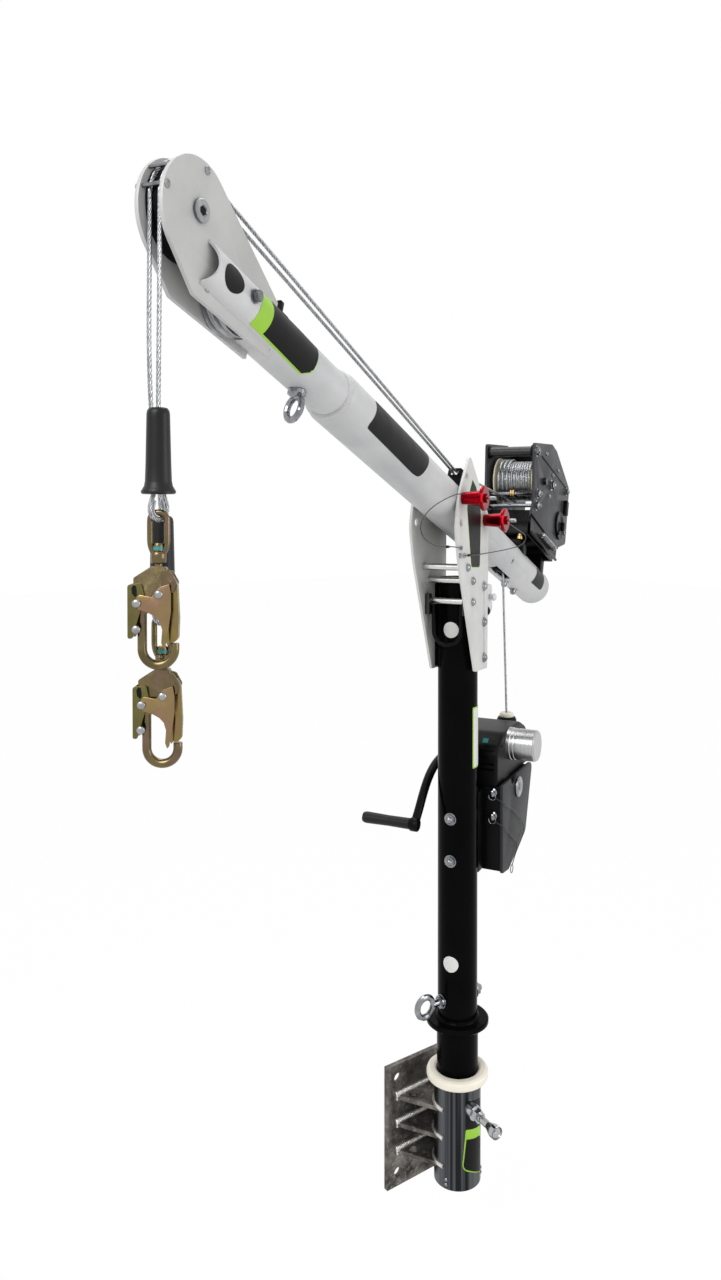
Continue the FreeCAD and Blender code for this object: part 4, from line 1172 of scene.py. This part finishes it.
# %% Winch fastenings
WINCH_FACE = -52.0
WINCH_BACK = 58.0
PINION = (-388.7, 209.5)
TIE = -288
TIE_ROWS = (154, 127)
TUBE = (-254, 238)


def nut(at, way, r, height, end):
    washer = lathe([(r * 0.5, -0.2), (r * 1.3, -0.2), (r * 1.3, 1.2), (r * 1.2, 1.5)], at, way, 28)
    hexagon = lathe([(r * 0.95, 1.3), (r, 1.8), (r, height - 0.6), (r * 0.9, height)], at, way, 6)
    tip = lathe([(r * 0.58, height - 0.2), (r * 0.56, height + end * 0.5), (r * 0.4, height + end * 0.85),
                 (r * 0.1, height + end)], at, way, 20)
    return [washer, hexagon, tip]


nuts = []
for t, n, r, end in ((*TUBE, 9.6, 2.5), (-521, 241, 7.8, 2), (-520, 140, 7.8, 2)):
    nuts += nut(on_boom(t, WINCH_FACE, n), -SIDE, r, 7, end)
for y, way in ((WINCH_FACE, -SIDE), (WINCH_BACK, SIDE)):
    for n in TIE_ROWS:
        nuts += nut(on_boom(TIE, y, n), way, 8.4, 7, 6)
cover_screws = ((-334, 263), (-439, 263.6), (-396, 236), (-385, 182))
nuts += [lathe(screw_profile, at, -SIDE, 20) for at in at_side(cover_screws, WINCH_FACE)]
seat_profile = [(6.8, -0.2), (13, -0.2), (13, 1.2), (6.8, 1.2)]
nuts += [lathe(seat_profile, at, -SIDE, 28, True) for at in at_side([PINION], WINCH_FACE)]
settle("winch_nuts", nuts, "boom", CHROME)
pinion_profile = [(8.6, 0), (9, 0.5), (9, 6.4), (8, 7.2), (5.4, 7.3), (5.2, 9), (3.6, 10.4), (0.5, 11)]
pinion_nut = [lathe(pinion_profile, at, -SIDE, 6) for at in at_side([PINION], -53.6)]
settle("pinion_nut", pinion_nut, "pinion", CHROME)
print("winch nuts:", len(nuts))

# %% [markdown]
# The upper tie rod is threaded on its near half and carries a brass ring. A thread is a lathe profile
# that goes in and out at each turn.

# %% Winch rods and collars
THREAD_PITCH = 2.2
THREADS = 18
thread_profile = [(4.05, 0)]
for i in range(THREADS):
    thread_profile += [(4.75, THREAD_PITCH * (i + 0.5)), (4.05, THREAD_PITCH * (i + 1))]
thread = lathe(thread_profile, on_boom(TIE, -46.6, TIE_ROWS[0]), SIDE, 20)
settle("tie_rod_thread", [thread], "boom", CHROME, 20)
ring_profile = [(4.2, -5), (7.8, -5), (8.6, -4), (8.6, -1.6), (7.2, -0.8), (7.2, 0.8), (8.6, 1.6), (8.6, 4),
                (7.8, 5), (4.2, 5)]
tie_ring = lathe(ring_profile, on_boom(TIE, 2, TIE_ROWS[0]), SIDE, 28, True)
settle("tie_rod_ring", [tie_ring], "boom", BRASS)
collar_profile = [(10.7, 0), (14, 0), (14, 3.4), (12.8, 4.6), (10.7, 4.6)]
collars = [lathe(collar_profile, on_boom(TUBE[0], y, TUBE[1]), way, 32, True)
           for y, way in ((-46.8, SIDE), (52.8, -SIDE))]
settle("winch_tube_collars", collars, "boom", FRAME)
print("thread turns:", THREADS)

# %% [markdown]
# The near plate is folded along a crease, where a raised bar marks the fold and its black is the
# painted shadow of the crease. The plate carries a round brake cover with its latch blocks. Below it a
# skirt closes the bracket, and a return spring lies along the skirt. Two thin sheets close the space
# between the plates.

# %% Winch cover, skirt and spring
INNER_FACE = -46.9
GAP = 99.8
SPRING = (-332, 96, -60.5, 74)
COILS, PER_COIL, COIL_R = 11, 8, 6.0


def boom_bar(start, end, y, *size):
    return bar(*at_side([start, end], y), *size)


brake_profile = [(33, -0.2), (33, 3.4), (31.4, 4.8), (21, 4.8), (19.4, 3.8), (0.5, 3.8)]
back_outline = ((-384, 297), (-414, 297), (-545, 254), (-545, 250), (-414, 293), (-384, 293))
front_outline = ((INNER_FACE, 84), (INNER_FACE + GAP, 84), (INNER_FACE + GAP, 121), (INNER_FACE, 121))
cover = [
    # painted shadow: this black bar along the fold stands for the shade in the crease
    boom_bar((-300, 243), (-540, 252), -52.4, 4, 2.2, -SIDE, 0.8),
    lathe(brake_profile, on_boom(-482, WINCH_FACE, 144), -SIDE, 48),
    plate(at_side(((-255, 98), (-262, 58), (-476, 58), (-478, 90)), -52.2), -SIDE * 1.1),
    boom_bar((-254, 96.5), (-480, 88.5), -54, 4, 4, ABOVE, 0.8),
    boom_bar((-262, 60), (-476, 60), -54, 5, 5, ABOVE, 0.8),
    plate([on_boom(-300, y, n) for y, n in front_outline], -ALONG * 3),
    plate(at_side(back_outline, INNER_FACE), SIDE * GAP),
    boom_bar((-519, 182), (-519, 216), -56, 17, 9, -SIDE, 1.4),
    boom_bar((-500, 138), (-500, 156), -58, 12, 8, -SIDE, 1.2),
    boom_bar((-462, 118), (-478, 128), -57.4, 7, 5, -SIDE, 1)]
settle("winch_cover", cover, "boom", FRAME)
coil_line = []
start, run, y, n = SPRING
for i in range(COILS * PER_COIL + 1):
    a = 2 * math.pi * i / PER_COIL
    t = start - run * i / (COILS * PER_COIL)
    coil_line.append(on_boom(t, y + COIL_R * math.cos(a), n + COIL_R * math.sin(a)))
hooks = [bar(on_boom(t, -57, n), on_boom(t, -66, n), 5, 5, ABOVE, 1) for t in (-331, -430)]
settle("winch_spring", [bent_wire(coil_line, 1.3)] + hooks, "boom", DULL)
stay_profile = [(6, 0), (6, 6), (4.6, 7.5), (4.4, 13), (2, 14.5)]
settle("winch_stay", [lathe(stay_profile, on_boom(-267, -30, 45), ABOVE, 20)], "boom", BRASS)
print("winch ready")

# %% [markdown]
# Thin plain panels and discs lie on the tubes. A flat sheet is drawn above the tube, its corners may
# be rounded, and a shrinkwrap lays it on the round surface before it gets its thickness.

# %% Blank panels
CLEAR = 30
THIN = 0.2
LOW, HIGH = 0.4, 0.7
DISC_R = 14.5
OUTER, INNER = ("boom_outer_tube", "boom"), ("boom_inner_tube", "boom")
SLEEVE, MAST = ("sleeve_tube", "base"), ("mast_tube", "mast")


def wrapped(corners, out, tube, rounding, lift):
    piece = plate([corner + out * CLEAR * MM for corner in corners])
    bpy.ops.object.mode_set(mode="EDIT")
    bpy.ops.mesh.select_all(action="SELECT")
    if rounding:
        bpy.ops.mesh.bevel(offset=rounding * MM, segments=4, affect="VERTICES")
    bpy.ops.mesh.select_all(action="SELECT")
    bpy.ops.mesh.quads_convert_to_tris()
    bpy.ops.mesh.subdivide(number_cuts=11)
    bpy.ops.object.mode_set(mode="OBJECT")
    modify(piece, "SHRINKWRAP", target=nodes[tube], wrap_method="PROJECT", offset=lift * MM,
           use_negative_direction=True, use_positive_direction=True)
    return modify(piece, "SOLIDIFY", thickness=THIN * MM, offset=0)


oval = [(842 + 19 * math.cos(a), -27, 15 * math.sin(a)) for a in turn_angles(24)]
boom_panels = (
    ("boom_panel", OUTER, PANEL, 7, LOW,
     ((472, -27.6, 27.5), (489, -31.6, -22.8), (290, -29.8, -25.2), (264, -28, 27))),
    ("tail_panel", OUTER, PANEL, 2, LOW,
     ((-369, -33, -20.5), (-442.5, -33.7, -19.6), (-451.6, -34.8, 17.6), (-397.6, -32.7, 21.2))),
    ("inner_panel_edge", INNER, GREEN, 2, LOW,
     ((787, -26, -20.2), (650, -25, -22), (646.5, -29, 16), (784, -20, 27))),
    ("inner_panel", INNER, PANEL, 1, HIGH,
     ((760, -26, -18.6), (652, -25, -20.6), (648, -29, 14.6), (757, -20, 25.6))),
    ("head_panel", INNER, PANEL, 0, LOW, oval))
mast_panels = (
    ("sleeve_panel_edge", SLEEVE, GREEN, 3, LOW,
     ((-32, -28.7, 110), (3, -43, 104), (3.7, -43, 17.6), (-36.4, -22.9, 38.4))),
    ("sleeve_panel_top", SLEEVE, PANEL, 2, LOW,
     ((-30.4, -30.4, 162), (2, -43, 155), (2, -43, 106), (-32, -28.7, 112))),
    ("sleeve_panel", SLEEVE, PANEL, 2, HIGH,
     ((-31.4, -29.4, 92), (1.6, -43, 86), (2.4, -43, 19), (-35.2, -24.3, 40.4))),
    ("mast_panel_edge", MAST, GREEN, 2, LOW,
     ((-14, -33.7, 873), (16, -32.8, 873), (16, -32.8, 762), (-14, -33.7, 762))),
    ("mast_panel", MAST, PALE, 2, HIGH,
     ((-12, -34.4, 870.5), (14.5, -33.5, 870.5), (14.5, -33.5, 764.5), (-12, -34.4, 764.5))))
for place, origin, axis, panels in (
        (on_boom, PIVOT, ALONG, boom_panels), (on_mast, FOOT, UP, mast_panels)):
    for name, (tube, body), look, rounding, lift, corners in panels:
        points = [place(*corner) for corner in corners]
        offset = sum(points, Vector()) / len(points) - origin
        out = (offset - axis * offset.dot(axis)).normalized()
        settle(name, [wrapped(points, out, tube, rounding, lift)], body, look, 60)
for name, z in (("mast_disc_upper", 1014.7), ("mast_disc_lower", 408)):
    disc = [on_mast(-36, DISC_R * math.sin(a), z + DISC_R * math.cos(a)) for a in turn_angles(24)]
    settle(name, [wrapped(disc, -BACK, "mast_tube", 0, LOW)], "mast", PALE, 60)
print("panels ready")

# %% [markdown]
# On the near head plate a dark strip shows the boom's angle. The lanyards hang from small wire loops
# with crimped sleeves, and a rubber buffer sits under the rear lug.

# %% Mast-head fittings
strip = [(-44.4, 1284), (-57, 1266), (-71, 1243), (-71.6, 1232), (-50.5, 1133), (-46.5, 1130), (-9, 1128),
         (-5.6, 1131), (0.4, 1222), (-2, 1233), (-26, 1272)]
edge_strip = [(-44.4, 1285.6), (-58.2, 1266.6), (-72.2, 1243.4), (-72.8, 1231.8), (-51.6, 1132.2),
              (-47, 1128.8), (-8.6, 1126.8), (-4.4, 1130.4), (1.6, 1222), (-1, 1233.6), (-25, 1272.8)]
settle("angle_strip_edge", [plate(on_face(edge_strip, -PLATE_FACE), -SIDE * 0.12)], "mast", GREEN)
settle("angle_strip", [plate(on_face(strip, -44.1), -SIDE * 0.2)], "mast", PANEL)
loops = [bar(*on_face(((19, 968), (19, 1083)), -44.1), 1.6, 0.5, -SIDE, 0.15)]
for x, z in ((-117, 1166.5), (-99, 1153)):
    circle = [(x + 5.5 * math.cos(a), z + 4 * math.sin(a)) for a in turn_angles(10)]
    loops.append(bent_wire(on_face(circle, -48.6), 0.8, True))
settle("lanyard_loops", loops, "mast", DULL)
buffer_profile = [(4, -14), (4, 0), (8.4, 0), (9, 1), (9, 6), (7.6, 9), (4.4, 10.4), (0.6, 10.8)]
settle("lug_buffer", [lathe(buffer_profile, on_mast(48, -36, 1042), BACK, 24)], "mast", RUBBER)
crimp_profile = [(1.5, 0), (2.3, 0.6), (2.3, 10.4), (1.5, 11)]
for tag, start, end in (("angle", (-189, -50.7, 1171.5), (-178, -50.4, 1171.2)),
                        ("pivot", (-83, -49.5, 1152.5), (-72, -49.7, 1152.2))):
    crimp = lathe(crimp_profile, on_mast(*start), on_mast(*end) - on_mast(*start), 16)
    tie(settle(tag + "_crimp", [crimp], None, FRAME), tag)
print("mast head ready")

# %% [markdown]
# At the boom's head, socket screws hold the plates and a ring nut holds the axle. A grooved guide wheel
# sits on the cross bolt between the plates, and its rim shows under them. It is turned in one piece on
# the lathe, from a closed profile with two rope grooves. A black clip sits on the inner tube.

# %% Boom-head fittings
HEAD_FACE = 17.5
socket_profile = [(4.9, -0.2), (4.9, 0.7), (4.4, 1.3), (3.1, 1.4), (2.9, 0.9), (0.4, 0.8)]
axle_profile = [(8.1, 2.4), (12.7, 2.4), (12.7, 3.4), (11.6, 4.2), (6.4, 4.2), (6.2, 3.6), (0.6, 3.5)]
socket_spots = ((958.7, 39.6), (904.9, 93.9), (866, -24), (760, 24))
rings, sockets = [], []
for way in (-SIDE, SIDE):
    face = HEAD_FACE * way.dot(SIDE)
    axle_at = at_side([HEAD], face)[0]
    rings += [lathe(socket_profile, at, way, 28) for at in at_side(socket_spots, face)]
    rings.append(lathe(axle_profile, axle_at, way, 36))
    # painted shade: a thin black hexagon on each axle end stands for the dark inside of its hex socket
    sockets.append(lathe([(5.6, 3.3), (5.6, 3.75)], axle_at, way, 6))
settle("head_screws", rings, "boom", DULL)
settle("head_socket_shades", sockets, "boom", FRAME)
lip_profile = [(32.7, 0), (35.4, 0), (36.8, 1.4), (36.8, 4.6), (35.2, 6.4), (32.7, 7)]
settle("tube_lip", [lathe(lip_profile, on_boom(548.5, 0, 0), ALONG, 56, True)], "boom", BOOM)
half = [(44.1, 0), (44.1, 0.9), (40.4, 3), (39.6, 5), (40.4, 7), (44.1, 9), (44.1, 10.4), (43.6, 10.9),
        (37.4, 10.9), (36.8, 10.3), (35.6, 6), (14, 5.2), (12.4, 9.6), (5.6, 10)]
wheel_profile = [(r, -h) for r, h in half[::-1]] + half[1:]
settle("guide_wheel", [lathe(wheel_profile, on_boom(801, 0, 2), SIDE, 72, True)], "boom", DULL)
clip = [boom_bar((694, 34.5), (712, 34.5), 0, 20, 5, ABOVE, 1.2),
        boom_bar((703, 36), (703, 55), 0, 7, 9, ALONG, 1.6)]
settle("tube_clip", clip, "boom", FRAME)
print("boom head ready")

# %% [markdown]
# The lifeline unit has a low rope guide on a boss, a flat round knob and two mounting pins on wire
# lanyards. The lanyards are thin wires that hang over the cover from the pins to a ring below it.

# %% Lifeline unit fittings
UNIT_WIRE = LANYARD * 0.8
guide_at = on_mast(*GUIDE_XY, 806)
guide_profile = [(4.2, -14), (13, -14), (14.2, -0.4), (14.6, 1), (14.6, 5), (13, 7.6), (8, 8.4), (4.2, 6)]
guide = lathe(guide_profile, guide_at, UP, 36, True)
settle("unit_guide", [guide], "mast", ("cream_plastic", nylon_cream))
boss_profile = [(4.4, -42), (21, -42), (20, -6), (17.5, -1), (15, -0.2), (4.4, -0.4)]
settle("unit_boss", [lathe(boss_profile, guide_at, UP, 36, True)], "mast", HOUSING)
knob_profile = [(17, -0.2), (19.4, 0.8), (19.8, 2), (19.8, 3.6), (18.6, 4.8), (7.6, 5.2), (6.8, 6.6),
                (0.6, 7)]
pin_profile = [(7.4, 0), (7.4, 4), (4.4, 5.4), (4.4, 9), (6.2, 9.6), (6.2, 13), (4, 14.6), (0.6, 15)]
fittings = [lathe(knob_profile, on_mast(152, -68.1, 690), -SIDE, 40)]
for z in (702, 658):
    fittings.append(lathe(pin_profile, on_mast(59.8, -50, z), -BACK, 24))
    circle = [on_mast(49, -50 + 7 * math.cos(a), z - 6 + 7 * math.sin(a)) for a in turn_angles(10)]
    fittings.append(bent_wire(circle, 0.9, True))
low_ring = [(110 + 8 * math.cos(a), 543 + 8 * math.sin(a)) for a in turn_angles(10)]
fittings.append(bent_wire(on_face(low_ring, -69.5), 1.0, True))
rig.replaces(settle("unit_fittings", fittings, "mast", CHROME, 45), "srl_fittings")
unit_wires = (
    ("unit_wire_upper", (
        (48, -56, 694), (50, -66, 690), (60, -74, 680), (95, -74, 664), (135, -72.5, 642), (172, -71, 617),
        (187, -70.5, 597), (177, -70.5, 583), (150, -70.5, 573), (125, -70.5, 562), (112, -70.5, 551))),
    ("unit_wire_lower", (
        (48, -56, 650), (50, -66, 645), (60, -73, 637), (90, -72.5, 616), (122, -71, 596), (140, -70.5, 583),
        (138, -70.5, 571), (122, -70.5, 560), (110, -70.5, 551))))
for name, route in unit_wires:
    made = thin_wire(name, route, UNIT_WIRE)
    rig.ride(made[0], "mast")
    declare(made, UNIT_WIRE, "hanging")
slots = [bar(on_mast(53.8, -52, z), on_mast(53.8, -14, z), 3.5, 1.2, -BACK, 0.4) for z in (782, 770)]
slots.append(bar(on_mast(80, -58.2, 783), on_mast(104, -58.2, 783), 4.5, 1.0, -SIDE, 0.4))
slots.append(bar(on_mast(59.4, -36, 560), on_mast(59.4, -36, 704), 3, 2.4, -BACK, 0.6))
settle("unit_slots", slots, "mast", FRAME)
patch_corners = ((61, -37, 792.4), (61, -27, 792.4), (67.2, -27, 799), (67.2, -37, 799))
patch = plate([on_mast(*corner) for corner in patch_corners], (UP - BACK) * 0.6)
settle("unit_patch", [patch], "mast", TEAL)
print("unit ready")

# %% [markdown]
# The crank arm is one bent bar between two round bosses. The bar follows a smooth line, as a forged
# arm would.

# %% Crank arm
ARM_R = 8.2
ARM_Y = 58.6
HUB_AT = on_mast(133, 59, 758)
arm_line = [(133, 758), (90, 757), (40, 750), (6, 735), (-20, 713), (-46, 682), (-65, 663)]
forging = [
    bent_wire(on_face(arm_line, ARM_Y), ARM_R),
    lathe([(11, -14.2), (11, -8), (15, -7), (16, -5.6), (16, 4.4), (14.6, 6)], HUB_AT, SIDE, 32),
    lathe([(9.2, 4), (9.4, 4.8), (9.4, 9.6), (8.6, 10.4)], HUB_AT, SIDE, 6),
    lathe([(10, -8.4), (12, -7), (12.4, -6), (12.4, 5), (11.6, 6.4)], on_mast(-65, 59, 663), SIDE, 32),
    lathe([(4, 0), (4, 96.5)], on_mast(-65, 59.5, 663), SIDE, 20)]
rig.replaces(settle("crank_forging", forging, "crank", FRAME, 50), "crank_arm")
print("crank ready")

# %% [markdown]
# The bracket is welded. A weld bead is a row of small overlapping ripples, so a straight one is a
# lathe profile with a waver along its length, half sunk in the corner it fills. Round the sleeve a
# bent wire will do. The nuts of the eye bolt are set here too, on both sides of the mast.

# %% Weld beads and eye-bolt nuts
RIPPLE = 3.4
SLEEVE_BEAD_R = 43
EYE_ANGLE = math.radians(150)
EYE_REACH = 37.2


def bead(start, end, r):
    way = end - start
    count = round(way.length / (RIPPLE * MM))
    profile = [(r * 0.5, -0.6)]
    for i in range(count):
        profile += [(r * 0.9, RIPPLE * i + 0.2), (r * 1.06, RIPPLE * (i + 0.5)), (r, RIPPLE * (i + 0.8))]
    return lathe(profile + [(r * 0.5, RIPPLE * count + 0.6)], start, way, 12)


beads = []
for z in (39, 90, 141):
    beads.append(bead(on_wall(-84, 78.4, z + 0.6), on_wall(84, 78.4, z + 0.6), 6))
    beads.append(bead(on_wall(-82, 79, z - 8), on_wall(82, 79, z - 8), 4))
    for side in (-1, 1):
        angles = [math.radians(90 - side * (12 + 13 * k)) for k in range(8)]
        arc = [on_wall(SLEEVE_BEAD_R * math.cos(a), SLEEVE_BEAD_R * math.sin(a), z) for a in angles]
        beads.append(bent_wire(arc, 4.4))
settle("bracket_welds", beads, "base", ("dark_steel", weld_steel), 60)
collar_profile = [(36.3, -0.4), (41, -0.2), (40.6, 1.8), (39, 3.8), (36.3, 5)]
collar = lathe(collar_profile, on_mast(0, 0, 298.6), UP, 56, True)
settle("collar_bead", [collar], "mast", ("mast_black", mast_black))
eye_at = on_mast(0, 0, 335)
eye_way = BACK * math.cos(EYE_ANGLE) + SIDE * math.sin(EYE_ANGLE)
eye_nuts = nut(eye_at - eye_way * EYE_REACH * MM, -eye_way, 12, 11, 9)
eye_nuts += nut(eye_at + eye_way * EYE_REACH * MM, eye_way, 9.4, 8, 1)
settle("eye_bolt_nuts", eye_nuts, "mast", CHROME)
print("welds ready")

# %% [markdown]
# The studio is plain: a pale floor well below the wall plate, a large soft lamp over the camera's
# left shoulder, a weaker one at the right and one above. The background shows as white to the
# camera and to mirrors, while the lamps and a grey sky light the object.

# %% Studio
FLOOR_AT = (2, 3, -0.32)
FLOOR_SIZE = 24
WHITE = (1, 1, 1, 1)
GREY_SKY = 0.725
FLOOR_GLOW = 0.97


class Sky(Finish):
    def __init__(self, world):
        self.tree = world.node_tree
        self.shader = self.tree.nodes["Background"]


def see_white(finish):
    rays = ("Is Camera Ray", "Is Glossy Ray", "Is Transmission Ray")
    camera_ray, glossy, through = [finish.node("ShaderNodeLightPath", output=name) for name in rays]
    return finish.node("ShaderNodeClamp", None, camera_ray + glossy + through)


pick()
bpy.ops.mesh.primitive_plane_add(size=FLOOR_SIZE, location=FLOOR_AT)
floor = bpy.context.object
floor.name = "floor"
paper = Finish("floor_finish", Roughness=0.9)
paper.feed(Base_Color=paper.blend(paper.noise(30, 3), (0.86, 0.86, 0.86, 1), (0.9, 0.9, 0.9, 1)))
glow = paper.node("ShaderNodeEmission", None, WHITE, 1.0)
shaded = Wire(paper, paper.shader.outputs[0])
mixed = paper.node("ShaderNodeMixShader", None, see_white(paper) * FLOOR_GLOW, shaded, glow)
paper.join(mixed, paper.tree.nodes["Material Output"].inputs[0])
floor.data.materials.append(paper.material)
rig.stage(floor)

world = bpy.data.worlds.new("sky")
world.use_nodes = True
bpy.context.scene.world = world
sky = Sky(world)
strength = sky.node("ShaderNodeMapRange", None, see_white(sky), 0.0, 1.0, GREY_SKY, 1.0)
sky.feed(Color=WHITE, Strength=strength)


def lamp(name, place, target, size, power):
    data = bpy.data.lights.new(name, "AREA")
    data.size = size
    data.energy = power
    holder = add(name, data)
    holder.location = place
    holder.rotation_euler = (Vector(target) - Vector(place)).to_track_quat("-Z", "Y").to_euler()


lamp("key", (-2.4, -1.2, 2.6), (-0.2, -0.2, 0.9), 1.4, 45)
lamp("fill", (1.2, -2.4, 1.3), (0.0, 0.0, 0.7), 1.6, 22)
lamp("top", (0.2, 0.4, 3.2), (-0.1, 0.0, 0.8), 1.5, 25)
bpy.context.scene.view_settings.view_transform = "Standard"
print("studio ready")

# %% [markdown]
# Last, the sizes before and after the dressing are written down for comparison.

# %% Sizes
with open("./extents.json", "w") as out:
    json.dump({"cad": [list(corner) for corner in cad_box], "visual": [list(corner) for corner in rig.bounds()]}, out)
